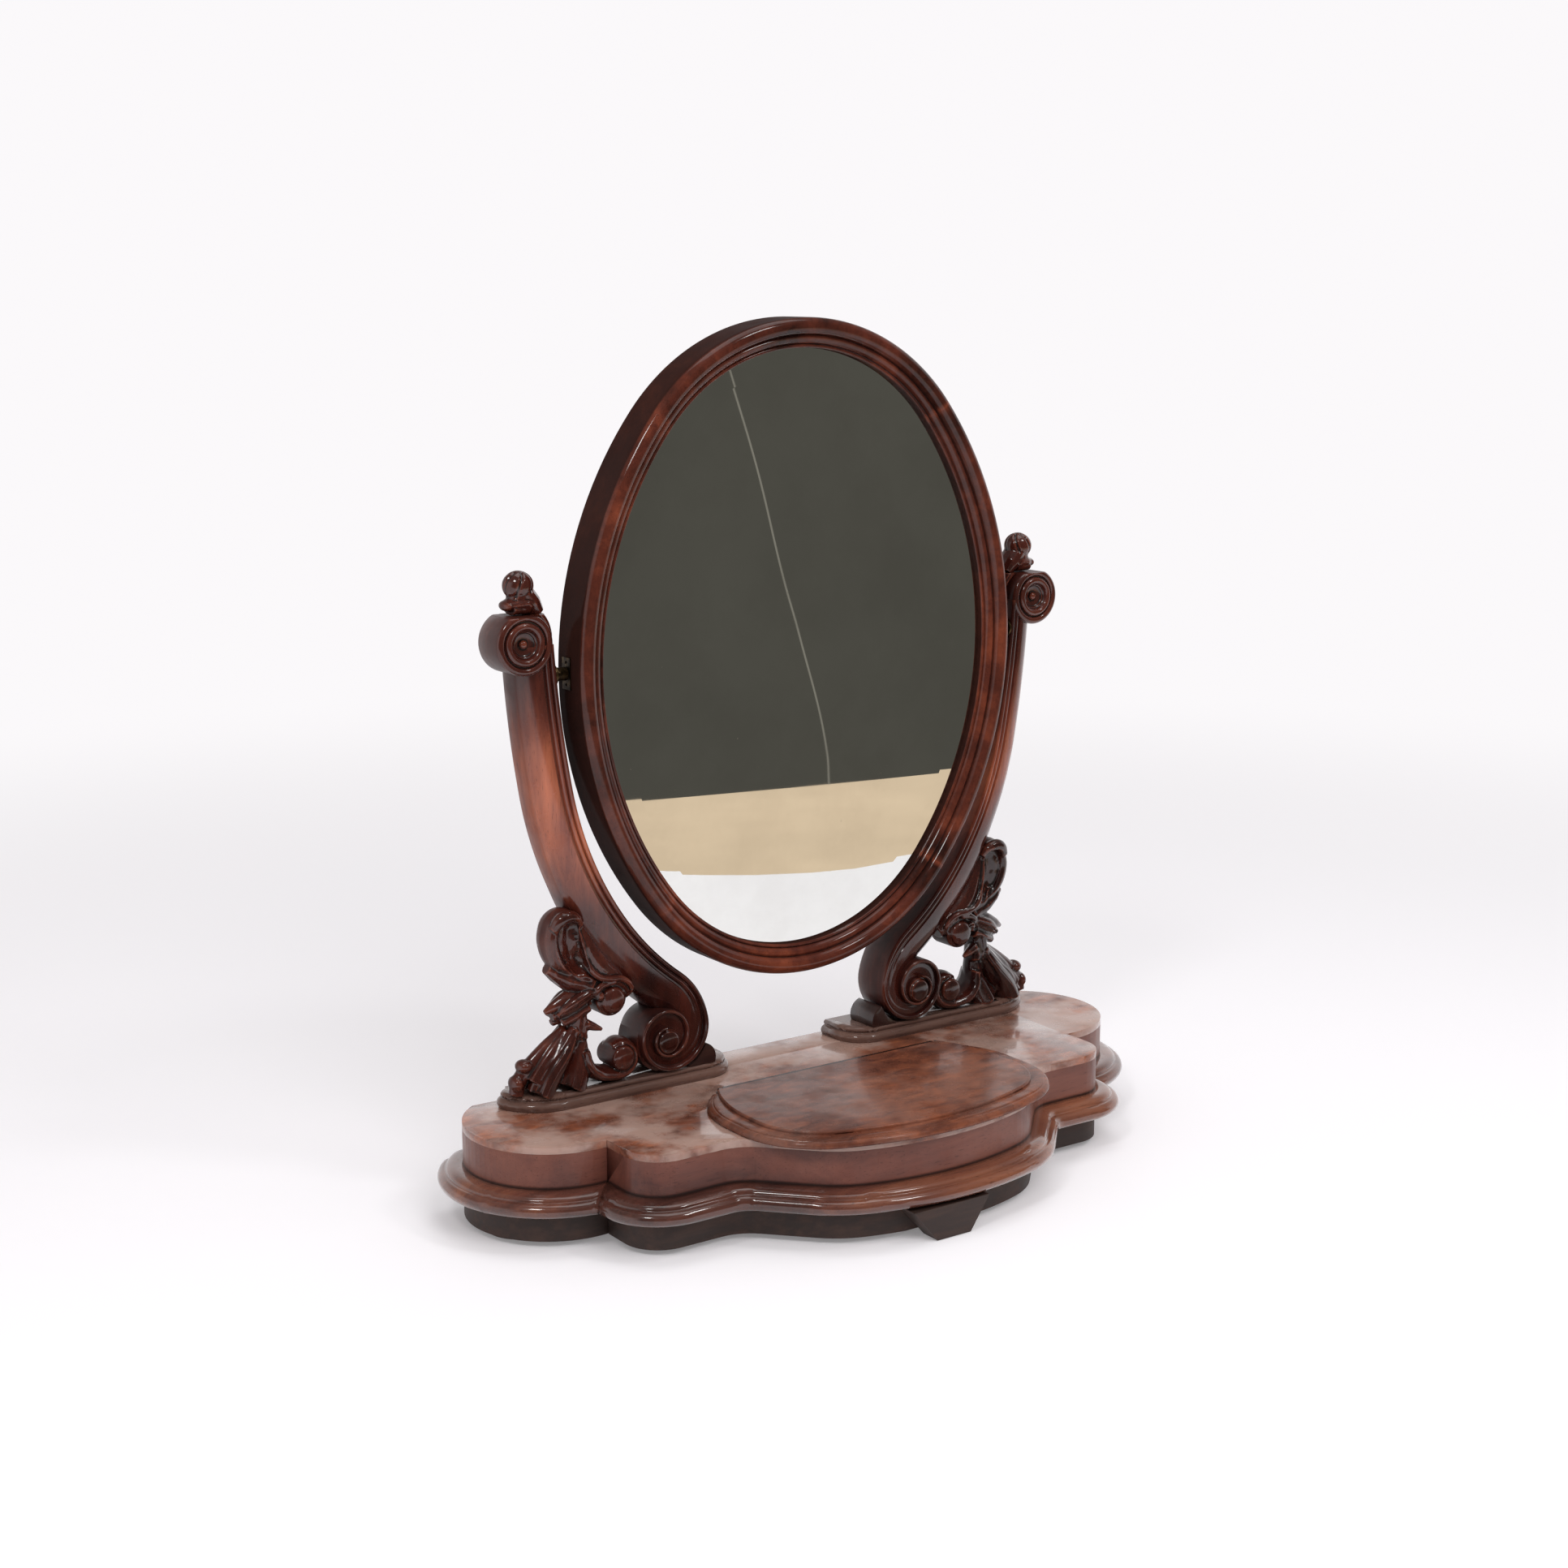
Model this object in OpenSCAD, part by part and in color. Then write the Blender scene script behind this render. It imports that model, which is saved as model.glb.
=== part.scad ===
// Dressing table mirror: oval swing plate between two carved scroll arms,
// on a low shaped box with a hinged lid, moulded plinth and recessed frame.
// Millimetres, +Z up, front is -Y. Origin: centre of the footprint on the
// table top.

/* [Base] */
// Height of the underside of the plinth above the table
foot_h = 28.5; // [24:0.5:36]
// Thickness of the plinth board and its moulding
plinth_t = 20; // [18:0.5:24]
// How far the plinth moulding stands out beyond the box
plinth_out = 21; // [18:0.5:22]
// Height of the shaped box above the plinth
box_h = 35.5; // [32:0.5:50]
// Thickness of the box top board
top_t = 6; // [5:0.5:8]
// Thickness of the bent box walls
wall_t = 10; // [8:0.5:11]

/* [Lid] */
// Thickness of the lid board
lid_t = 6.5; // [6:0.5:9]
// Thickness of the raised panel on the lid
panel_t = 2.8; // [2:0.2:4]
// Radius of the hinge knuckles
knuckle_r = 2.2; // [2:0.1:2.3]
// Radius of the hinge pins
hinge_pin_r = 0.9; // [0.7:0.1:1.1]

/* [Supports] */
// Thickness of the scroll arms, front to back
arm_t = 40; // [38:1:44]
// Width of the scroll arm band
arm_w = 33; // [30:0.5:34]
// Radius of the top scroll roll
roll_r = 25; // [24:0.5:25.5]
// Height of the moulded pads under the arms
pad_h = 13; // [12:0.5:16]

/* [Mirror] */
// Outer half width of the oval frame
oval_a = 220.5; // [216:0.5:221]
// Outer half height of the oval frame
oval_b = 278.5; // [272:0.5:280]
// Width of the frame moulding
frame_w = 25; // [24:0.5:28]
// Thickness of the mirror plate at its edge
glass_t = 4; // [3:0.5:5]
// Radius of the brass swing pins
pivot_r = 3.2; // [2.5:0.1:4]
// Radial play of the swing pins in the frame plates
pivot_play = 0.05; // [0.02:0.01:0.1]

/* [Hidden] */
$fn = 180;
glue = 0.1;      // free line between pieces that are glued round a curve
hair = 0.02;     // joint line between neighbouring lengths of a moulding
corner_joint = 0.1;
step = 0.05;     // how far the strips behind stay clear of the mouldings' flats
bore_play = 0.05;
z_plinth = foot_h;
z_box = foot_h + plinth_t;
z_top = z_box + box_h;
z_lid = z_top + lid_t;
back_y = 146;    // back of the box
sup_y = 90;      // front plane of the supports
z_pad = z_top + pad_h;
mirror_z = z_top + 361.7;
pivot_y = 100;

// Plan of the box: right half, arcs as [centre x, centre y, radius]
bow = [0, 130, 255];
bow_a = 18;
hip_r = 80;
hip = [(bow[2] - hip_r) * sin(bow_a), bow[1] - (bow[2] - hip_r) * cos(bow_a), hip_r];
sweep_a = 46;
shoulder_y = -47;
cove_r = 40;
hip_end = [hip[0] + hip_r * sin(sweep_a), hip[1] - hip_r * cos(sweep_a)];
cove_rise = cove_r * (1 - cos(sweep_a));
flank_len = (shoulder_y - cove_rise - hip_end[1]) / sin(sweep_a);
cove_start = [hip_end[0] + flank_len * cos(sweep_a), shoulder_y - cove_rise];
cove = [cove_start[0] + cove_r * sin(sweep_a), shoulder_y - cove_r, cove_r];
ear_r = 32;
ear = [211, shoulder_y + ear_r, ear_r];
ear_x = ear[0] + ear_r;
lobe = [250, 85, 74];
lobe_a0 = -90 - asin((lobe[0] - ear_x) / lobe[2]);
lobe_a1 = asin((back_y - lobe[1]) / lobe[2]);
cusp_y = lobe[1] - lobe[2] * cos(asin((lobe[0] - ear_x) / lobe[2]));

function arc(cx, cy, r, a0, a1, n) =
    [for (i = [0:n]) [cx + r * cos(a0 + (a1 - a0) * i / n), cy + r * sin(a0 + (a1 - a0) * i / n)]];

// Colours
mahogany = [0.36, 0.13, 0.08];
dark_wood = [0.16, 0.08, 0.06];
pine = [0.70, 0.55, 0.36];
brass = [0.78, 0.62, 0.30];
steel = [0.55, 0.56, 0.58];
silvered = [0.62, 0.65, 0.64];
velvet = [0.30, 0.06, 0.10];

// Sweeps: the child is a section, x outward from the outline, y up
module turn(c, r, a0, a1) {
    g = asin(hair / 2 / r);
    translate([c[0], c[1], 0])
        rotate([0, 0, a0 + g])
            rotate_extrude(angle = a1 - a0 - 2 * g)
                translate([r, 0])
                    children();
}

// The same on the hollow side of an arc
module turn_in(c, r, a0, a1) {
    g = asin(hair / 2 / r);
    translate([c[0], c[1], 0])
        rotate([0, 0, a0 + g])
            rotate_extrude(angle = a1 - a0 - 2 * g)
                translate([r, 0])
                    mirror([1, 0])
                        children();
}

// Straight length that starts at p, normal n degrees, and runs clockwise
module along(p, n, len) {
    translate([p[0], p[1], 0])
        rotate([90, 0, n])
            translate([0, 0, hair / 2])
                linear_extrude(len - hair)
                    children();
}

// Front of the outline, from one cusp round the bow to the other; short
// leaves a corner joint open by that much
module front_half(short) {
    turn(hip, hip[2], -90 + bow_a, -90 + sweep_a)
        children();
    along(cove_start, -90 + sweep_a, flank_len)
        children();
    turn_in(cove, cove_r, 90, 90 + sweep_a)
        children();
    along([ear[0], shoulder_y], -90, ear[0] - cove[0])
        children();
    turn(ear, ear_r, -90, 0)
        children();
    along([ear_x, cusp_y - short], 0, cusp_y - short - ear[1])
        children();
}

module front_run(short = 0) {
    turn(bow, bow[2], -90 - bow_a, -90 + bow_a)
        children();
    front_half(short)
        children();
    mirror([1, 0, 0])
        front_half(short)
            children();
}

// End lobe, right side; short is in degrees
module lobe_run(short = 0) {
    turn(lobe, lobe[2], lobe_a0 + short, lobe_a1 - short)
        children();
}

module back_run() {
    half = lobe[0] + lobe[2] * cos(lobe_a1) - corner_joint;
    along([-half, back_y], 90, 2 * half)
        children();
}

module full_run() {
    front_run(corner_joint)
        children();
    for (s = [0, 1])
        mirror([s, 0, 0])
            lobe_run(corner_joint)
                children();
    back_run()
        children();
}

// Outline drawn as a polygon, set in by d, for the hidden cores
function front_half_points(d) = concat(
    arc(bow[0], bow[1], bow[2] - d, -88.5, -92 + bow_a, 6),
    arc(hip[0], hip[1], hip[2] - d, -87 + bow_a, -93 + sweep_a, 6),
    arc(cove[0], cove[1], cove_r + d, 87 + sweep_a, 93, 8),
    arc(ear[0], ear[1], ear_r - d, -86, -4, 10));

function half_plan(d) = concat(
    front_half_points(d),
    [[ear_x - d, cusp_y + d + 0.3]],
    arc(lobe[0], lobe[1], lobe[2] - d, lobe_a0 + 12, lobe_a1 - 6, 22),
    [[lobe[0] + (lobe[2] - d) * cos(lobe_a1) - 3 - d * 0.5, back_y - d]]);

function flip(p) = [for (i = [len(p) - 1:-1:0]) [-p[i][0], p[i][1]]];

module plan(d) {
    polygon(concat(half_plan(d), flip(half_plan(d))));
}

// Flat strips behind the mouldings that hold their lengths together
function front_side(d) = concat(front_half_points(d), [[ear_x - d, cusp_y - d - 1]]);

function back_to_front(p) = [for (i = [len(p) - 1:-1:0]) p[i]];

module front_strip(d0, d1) {
    polygon(concat(
        flip(front_side(d0)), front_side(d0),
        back_to_front(front_side(d1)), back_to_front(flip(front_side(d1)))));
}

module ring_strip(d0, d1) {
    difference() {
        plan(d0);
        plan(d1);
    }
}

// Underside: recessed frame, feet and plinth
ear_foot = [211, -15];
end_foot = [284, 77];
front_foot_y = -129.5;
foot_at = [[0, front_foot_y], [-ear_foot[0], ear_foot[1]], ear_foot, [-end_foot[0], end_foot[1]], end_foot];
rail_z = 5;      // underside of the recessed frame

module dowel_holes(z0, z1) {
    for (p = foot_at)
        translate([p[0], p[1], z0])
            cylinder(h = z1 - z0, r = 4 + bore_play, $fn = 32);
}

module foot_front() {
    color(dark_wood)
        difference() {
            hull() {
                translate([-52, -143.5, foot_h - 0.5])
                    cube([76, 22.3, 0.5]);
                translate([-28, -142.5, 0])
                    cube([34, 18.5, 0.5]);
            }
            dowel_holes(foot_h - 12, foot_h + 1);
        }
}

module turned_foot(p, r) {
    difference() {
        translate([p[0], p[1], 0])
            rotate_extrude()
                polygon([[0, 0], [r, 0], [r + 2.5, rail_z - 0.4], [r - 4, rail_z - 0.4], [r - 4, foot_h], [0, foot_h]]);
        dowel_holes(foot_h - 12, foot_h + 1);
    }
}

module foot_front_left() {
    color(dark_wood)
        turned_foot([-ear_foot[0], ear_foot[1]], 13);
}

module foot_front_right() {
    color(dark_wood)
        turned_foot(ear_foot, 13);
}

module foot_end_left() {
    color(dark_wood)
        turned_foot([-end_foot[0], end_foot[1]], 31);
}

module foot_end_right() {
    color(dark_wood)
        turned_foot(end_foot, 31);
}

module foot_dowels() {
    color(pine)
        for (p = foot_at)
            translate([p[0], p[1], foot_h - 10])
                cylinder(h = 20, r = 4, $fn = 32);
}

module rail_section() {
    translate([-10, rail_z])
        square([10, foot_h - rail_z]);
}

module under_frame() {
    color(dark_wood)
        difference() {
            union() {
                full_run()
                    rail_section();
                translate([0, 0, rail_z + step])
                    linear_extrude(foot_h - rail_z - 2 * step)
                        ring_strip(0.6, 8);
            }
            translate([-52.1, -160, 0])
                cube([76.2, 38.9, foot_h + 1]);
        }
}

module plinth_board() {
    color(mahogany)
        difference() {
            translate([0, 0, z_plinth])
                linear_extrude(plinth_t)
                    plan(8 + glue);
            dowel_holes(z_plinth - 1, z_plinth + 12);
        }
}

// Bold nose undercut below, a quirk above it, and a broad swelling slope up to the box
module plinth_section() {
    w = plinth_out;
    t = plinth_t;
    polygon(concat(
        [[-8, z_plinth], [w - 9.5, z_plinth]],
        arc(w - 6.4, z_plinth + t * 0.41, 6.4, -78, 76, 14),
        [[w - 5.8, z_plinth + t * 0.725], [w - 6.8, z_plinth + t * 0.735]],
        [for (i = [0:7]) [3 + (w - 10.2) * cos(i * 12.4), z_plinth + t * 0.765 + t * 0.235 * sin(i * 12.4)]],
        [[3, z_plinth + t], [-8, z_plinth + t]]));
}

// Half space on the end side of the mitre at the right cusp
module cusp_mitre(cut) {
    translate([ear_x, cusp_y, 0])
        rotate([0, 0, -45])
            translate([-20, cut > 0 ? 0 : -60, 0])
                cube([80, 60, 120]);
}

module plinth_moulding_front() {
    color(mahogany)
        difference() {
            union() {
                front_run()
                    plinth_section();
                translate([0, 0, z_plinth + step])
                    linear_extrude(plinth_t - 2 * step)
                        front_strip(0.6, 7.4);
            }
            dowel_holes(z_plinth - 1, z_plinth + 12);
            for (s = [0, 1])
                mirror([s, 0, 0])
                    intersection() {
                        cusp_mitre(1);
                        translate([ear_x - 5, -40, 0])
                            cube([90, 90, 120]);
                    }
        }
}

module plinth_moulding_end() {
    difference() {
        lobe_run()
            plinth_section();
        intersection() {
            cusp_mitre(-1);
            translate([ear_x - 30, -60, 0])
                cube([90, 90, 120]);
        }
        translate([200, back_y, 0])
            cube([200, 40, 120]);
    }
}

module plinth_moulding_left() {
    color(mahogany)
        mirror([1, 0, 0])
            plinth_moulding_end();
}

module plinth_moulding_right() {
    color(mahogany)
        plinth_moulding_end();
}

// Shaped box
well_x = 115;
well_y0 = -95;
well_y1 = 30;
well_r = 45;

module well_plan(d) {
    difference() {
        translate([-well_x + d, well_y0 + d])
            square([2 * (well_x - d), well_y1 - well_y0 - 2 * d]);
        for (s = [-1, 1])
            difference() {
                translate([s * (well_x - well_r / 2 + 5) - well_r / 2 - 5, well_y0 - 10])
                    square([well_r + 10, well_r + 10]);
                translate([s * (well_x - well_r), well_y0 + well_r])
                    circle(r = well_r - d);
            }
    }
}

module wall_section() {
    translate([-wall_t, z_box])
        square([wall_t, box_h - top_t]);
}

module box_sides() {
    color(mahogany) {
        full_run()
            wall_section();
        translate([0, 0, z_box + step])
            linear_extrude(box_h - top_t - 2 * step)
                ring_strip(0.8, wall_t - 0.8);
    }
}

hinge_x = 70;
hinge_w = 30;
hinge_y = 46.4;
hinge_z = z_top + 1.8;
lid_back = 44;

module top_edge_section() {
    translate([-14, z_top - top_t + step])
        square([14, top_t - 2 * step]);
}

module box_top() {
    color(mahogany)
        difference() {
            union() {
                full_run()
                    top_edge_section();
                translate([0, 0, z_top - top_t])
                    linear_extrude(top_t)
                        plan(0.4);
            }
            translate([0, 0, z_top - top_t - 1])
                linear_extrude(top_t + 2)
                    well_plan(0);
            for (s = [-1, 1])
                translate([s * hinge_x - hinge_w / 2 - 0.2, lid_back - 0.4, z_top - 1.2])
                    cube([hinge_w + 0.4, 16.6, 5]);
            for (s = [-1, 1])
                for (p = arm_screw_at)
                    translate([s * p[0], p[1], z_top - top_t - 1])
                        cylinder(h = top_t + 2, r = 2.5 + bore_play, $fn = 32);
        }
}

module trinket_tray() {
    color(velvet)
        difference() {
            translate([0, 0, z_box])
                linear_extrude(box_h - 1)
                    well_plan(0.3);
            translate([0, 0, z_box + 2])
                linear_extrude(box_h)
                    well_plan(3.3);
        }
}

arm_screw_at = [[124, 110], [246, 112]];

module bearer() {
    difference() {
        translate([104, 94, z_top - top_t - 14])
            cube([172, 36, 14]);
        for (p = arm_screw_at)
            translate([p[0], p[1], z_top - top_t - 15])
                cylinder(h = 16, r = 2.5 + bore_play, $fn = 32);
        for (p = arm_screw_at)
            translate([p[0], p[1], z_top - top_t - 15])
                cylinder(h = 4.2, r = 5.2, $fn = 32);
    }
}

module bearer_left() {
    color(pine)
        mirror([1, 0, 0])
            bearer();
}

module bearer_right() {
    color(pine)
        bearer();
}

module arm_screws() {
    color(steel)
        for (s = [-1, 1])
            for (p = arm_screw_at)
                translate([s * p[0], p[1], z_top - top_t - 14]) {
                    cylinder(h = 3.1, r = 4.8, $fn = 32);
                    translate([0, 0, 3])
                        cylinder(h = (p[0] < 200 ? 45 : 38), r = 2.5, $fn = 32);
                }
}

// Lid: outline arcs of the right half
lid_front = [0, 159, 290];
lid_corner = [75, 159 - sqrt(214 * 214 - 75 * 75), 76];
lid_tail = [65, -20, 86];
lid_fa = atan2(75, 159 - lid_corner[1]);
lid_ta = asin((lid_back - lid_tail[1]) / lid_tail[2]);

module lid_run() {
    turn(lid_front, lid_front[2], -90 - lid_fa, -90 + lid_fa)
        children();
    for (s = [0, 1])
        mirror([s, 0, 0]) {
            turn(lid_corner, lid_corner[2], -90 + lid_fa, 0)
                children();
            along([151, lid_tail[1]], 0, lid_tail[1] - lid_corner[1])
                children();
            turn(lid_tail, lid_tail[2], 0, lid_ta)
                children();
        }
}

function half_lid(d) = concat(
    arc(lid_front[0], lid_front[1], lid_front[2] - d, -88, -90 + lid_fa - 4, 5),
    arc(lid_corner[0], lid_corner[1], lid_corner[2] - d, -90 + lid_fa + 4, -3, 8),
    arc(lid_tail[0], lid_tail[1], lid_tail[2] - d, 3, lid_ta - 3, 6),
    [[lid_tail[0] + (lid_tail[2] - d) * cos(lid_ta), lid_back]]);

module lid_section() {
    z = z_top;
    polygon(concat(
        [[-12, z], [-0.6, z], [0, z + 0.7], [0, z + 1.4]],
        arc(-4.2, z + 1.4, 4.2, 12, 90, 7),
        [[-5.4, z + lid_t - 0.9], [-5.4, z + lid_t], [-12, z + lid_t]]));
}

module lid_board() {
    color(mahogany)
        difference() {
            union() {
                lid_run()
                    lid_section();
                translate([0, 0, z_top])
                    linear_extrude(lid_t)
                        polygon(concat(half_lid(8), flip(half_lid(8))));
            }
            translate([-200, lid_back, z_top - 5])
                cube([400, 60, 40]);
            for (s = [-1, 1])
                translate([s * hinge_x - hinge_w / 2 - 0.2, lid_back - 14.4, z_top - 1])
                    cube([hinge_w + 0.4, 20, 2.4]);
        }
}

// The raised panel runs out to the lid's back corners
panel_tail = [0, -25, 135];
panel_in = 16;
panel_ta = asin((lid_back - panel_tail[1]) / panel_tail[2]);

module panel_section() {
    z = z_lid;
    polygon(concat([[-10, z], [0, z], [0, z + panel_t - 1.6]],
        arc(-1.6, z + panel_t - 1.6, 1.6, 15, 90, 4), [[-10, z + panel_t]]));
}

module lid_panel() {
    color(mahogany)
        difference() {
            union() {
                turn(lid_front, lid_front[2] - panel_in, -90 - lid_fa, -90 + lid_fa)
                    panel_section();
                for (s = [0, 1])
                    mirror([s, 0, 0]) {
                        turn(lid_corner, lid_corner[2] - panel_in, -90 + lid_fa, 0)
                            panel_section();
                        along([135, panel_tail[1]], 0, panel_tail[1] - lid_corner[1])
                            panel_section();
                        turn(panel_tail, panel_tail[2], 0, panel_ta)
                            panel_section();
                    }
                translate([0, 0, z_lid])
                    linear_extrude(panel_t)
                        polygon(concat(half_panel(), flip(half_panel())));
            }
            translate([-200, lid_back, z_lid - 5])
                cube([400, 60, 40]);
        }
}

function half_panel() = concat(
    arc(lid_front[0], lid_front[1], lid_front[2] - panel_in - 6, -88, -90 + lid_fa - 4, 5),
    arc(lid_corner[0], lid_corner[1], lid_corner[2] - panel_in - 6, -90 + lid_fa + 4, -3, 8),
    arc(panel_tail[0], panel_tail[1], panel_tail[2] - 6, 2, panel_ta - 2, 6),
    [[129 * cos(panel_ta), lid_back]]);

// Butt hinges, drawn for one side
module knuckle(x0, x1) {
    translate([x0, hinge_y, hinge_z])
        rotate([0, 90, 0])
            cylinder(h = x1 - x0, r = knuckle_r, $fn = 48);
}

module pin_bore(play) {
    translate([hinge_x - hinge_w / 2 - 1, hinge_y, hinge_z])
        rotate([0, 90, 0])
            cylinder(h = hinge_w + 2, r = hinge_pin_r + play, $fn = 32);
}

module hinge_fixed() {
    x0 = hinge_x - hinge_w / 2;
    difference() {
        union() {
            knuckle(x0, x0 + 9.8);
            knuckle(x0 + 20.2, x0 + 30);
            translate([x0, hinge_y + 2.5, z_top - 1.2])
                cube([hinge_w, 11, 1.2]);
            for (x = [x0, x0 + 20.2])
                translate([x, hinge_y, z_top - 1.2])
                    cube([9.8, 3, 1.2]);
        }
        pin_bore(0);
    }
}

module hinge_moving() {
    x0 = hinge_x - hinge_w / 2;
    difference() {
        union() {
            knuckle(x0 + 10, x0 + 20);
            translate([x0, lid_back - 14.2, z_top + 0.2])
                cube([hinge_w, 14, 1.2]);
            translate([x0 + 10, lid_back - 1, z_top + 0.2])
                cube([10, hinge_y - lid_back + 1, 1.2]);
        }
        pin_bore(0.05);
    }
}

module hinge_pin_one() {
    translate([hinge_x - hinge_w / 2, hinge_y, hinge_z])
        rotate([0, 90, 0])
            cylinder(h = hinge_w, r = hinge_pin_r, $fn = 32);
}

module hinge_box_left() {
    color(brass)
        mirror([1, 0, 0])
            hinge_fixed();
}

module hinge_box_right() {
    color(brass)
        hinge_fixed();
}

module hinge_lid_left() {
    color(brass)
        mirror([1, 0, 0])
            hinge_moving();
}

module hinge_lid_right() {
    color(brass)
        hinge_moving();
}

module hinge_pins() {
    color(brass)
        for (s = [0, 1])
            mirror([s, 0, 0])
                hinge_pin_one();
}

// Pads under the arms, right side
pad_x0 = 60;
pad_x1 = 280;
pad_in_r = 30;
pad_out_r = 48;
pad_back = sup_y + 50;
pad_corner_r = 14;
pad_a = asin((sup_y + pad_out_r + pad_corner_r - pad_back) / (pad_out_r - pad_corner_r));
pad_corner = [pad_x1 - pad_out_r + (pad_out_r - pad_corner_r) * cos(pad_a), pad_back - pad_corner_r];

module pad_section() {
    z = z_top;
    h = pad_h;
    polygon(concat(
        [[-12, z], [-1.4, z]],
        arc(-4.2, z + h * 0.32, 4.2, -42, 78, 7),
        [[-4.2, z + h * 0.68], [-3.2, z + h * 0.74], [-3.2, z + h * 0.88], [-4.6, z + h], [-12, z + h]]));
}

module pad() {
    difference() {
        union() {
            along([pad_x1 - pad_out_r, sup_y], -90, pad_x1 - pad_out_r - pad_x0 - pad_in_r)
                pad_section();
            turn([pad_x1 - pad_out_r, sup_y + pad_out_r], pad_out_r, -90, -pad_a)
                pad_section();
            turn(pad_corner, pad_corner_r, -pad_a, 90)
                pad_section();
            turn([pad_x0 + pad_in_r, sup_y + pad_in_r], pad_in_r, -180, -90)
                pad_section();
            along([pad_x0, sup_y + pad_in_r], 180, pad_back - sup_y - pad_in_r)
                pad_section();
            translate([0, 0, z_top])
                linear_extrude(pad_h)
                    polygon(concat(
                        arc(pad_x0 + pad_in_r, sup_y + pad_in_r, pad_in_r - 8, 180, 270, 8),
                        arc(pad_x1 - pad_out_r, sup_y + pad_out_r, pad_out_r - 8, 270, 358 - pad_a, 10),
                        arc(pad_corner[0], pad_corner[1], pad_corner_r - 8, 2 - pad_a, 62, 5),
                        [[pad_corner[0] + 0.3, pad_back], [pad_x0 + 8, pad_back]]));
        }
        for (p = arm_screw_at)
            translate([p[0], p[1], z_top - 1])
                cylinder(h = pad_h + 2, r = 2.5 + bore_play, $fn = 32);
    }
}

module pad_left() {
    color(mahogany)
        mirror([1, 0, 0])
            pad();
}

module pad_right() {
    color(mahogany)
        pad();
}

// Scroll arms. Arcs of the inner edge in the X-Z plane, right side,
// as [centre x, centre z above the box top, radius]
mid_arc = [-61.6, 321.3, 288.4];
high_r = 1000;
high_a = -10.6;
high_end = -3.7;
high_arc = [mid_arc[0] - (high_r - mid_arc[2]) * cos(high_a), mid_arc[1] - (high_r - mid_arc[2]) * sin(high_a), high_r];
low_r = 250;
low_a = -36;
low_arc = [mid_arc[0] + (mid_arc[2] - low_r) * cos(low_a), mid_arc[1] + (mid_arc[2] - low_r) * sin(low_a), low_r];
toe_a = -53;
turn_r = 70.4;
turn_arc = [low_arc[0] + (low_r + turn_r) * cos(toe_a), low_arc[1] + (low_r + turn_r) * sin(toe_a), turn_r];
eye_low = [135, 45];
eye_top = [262.6, 389];
disc_r = 30.6;
disc = [turn_arc[0] - turn_r + disc_r + 0.4, 42.8];
finial_x = eye_top[0] - 5;
finial_y = sup_y + 21;
finial_z = z_top + eye_top[1] + 21.5;

// Section of the arm: x away from the mirror, y towards the front
module arm_section() {
    w = arm_w;
    polygon(concat(
        [[0, -arm_t], [0, -4]],
        arc(4, -4, 4, 180, 12, 8),
        [[8.6, -3.6], [9.6, -2.6], [11.5, -1.2]],
        [for (i = [0:9]) [13.5 + (w - 13.5) * sin(i * 10), -20 + 19.4 * cos(i * 10)]],
        [[w, -20], [w, -arm_t + 3], [w - 3, -arm_t]]));
}

module arm_turn(c, a0, a1) {
    g = asin(hair / 2 / c[2]);
    translate([c[0], sup_y, z_top + c[1]])
        rotate([90, 0, 0])
            rotate([0, 0, a0 + g])
                rotate_extrude(angle = a1 - a0 - 2 * g)
                    translate([c[2], 0])
                        children();
}

module arm_turn_in(c, a0, a1) {
    g = asin(hair / 2 / c[2]);
    translate([c[0], sup_y, z_top + c[1]])
        rotate([90, 0, 0])
            rotate([0, 0, a0 + g])
                rotate_extrude(angle = a1 - a0 - 2 * g)
                    translate([c[2], 0])
                        mirror([1, 0])
                            children();
}

// Middle of the band as a flat plate, d in from its edges
function band_side(d) = concat(
    arc(turn_arc[0], turn_arc[1], turn_r - d, 180, 180 + toe_a, 10),
    arc(low_arc[0], low_arc[1], low_r + d, toe_a + 2, low_a, 4),
    arc(mid_arc[0], mid_arc[1], mid_arc[2] + d, low_a + 3, high_a, 6),
    arc(high_arc[0], high_arc[1], high_r + d, high_a + 1.5, high_end, 4));

module band_core() {
    translate([0, sup_y + arm_t - 3, z_top])
        rotate([90, 0, 0])
            linear_extrude(arm_t - 12)
                polygon(concat(band_side(4), back_to_front(band_side(arm_w - 5))));
}

// Lathe-turned face rings of a scroll, axis front to back
module scroll_roll(x, z, r, thick, bulge) {
    translate([x, sup_y, z_top + z])
        rotate([90, 0, 0])
            rotate_extrude()
                polygon(concat(
                    [[0, -thick], [r - 2.5, -thick], [r, -thick + 2.5], [r, -3]],
                    arc(r - 3.4, -3, 3.4, 0, 125, 7),
                    [[r - 6.4, -2.2], [r - 7.2, -2.2]],
                    arc(r - 10.4, -1.6, 3, 10, 150, 6),
                    [[r - 14.2, -1.8]],
                    [for (i = [0:6]) [(r - 14.4) * cos(i * 15), -1.6 + (bulge + 1.6) * sin(i * 15)]]));
}

module capsule(a, b, r1, r2) {
    d = b - a;
    h = norm(d);
    translate(a)
        rotate([0, acos(d[2] / h), atan2(d[1], d[0])]) {
            cylinder(h = h, r1 = r1, r2 = r2, $fn = 48);
            translate([0, 0, h])
                sphere(r = r2 + 0.5, $fn = 48);
        }
}

// Leaf lobe rolled front to back, fuller in the middle of its depth
module barrel(x, z, r, d0, d1) {
    d = d1 - d0;
    translate([x, sup_y + d1, z_top + z])
        rotate([90, 0, 0])
            rotate_extrude($fn = 72)
                polygon([[0, 0], [r * 0.62, 0], [r * 0.9, d * 0.2], [r, d * 0.5], [r * 0.9, d * 0.8], [r * 0.62, d], [0, d]]);
}

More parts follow.
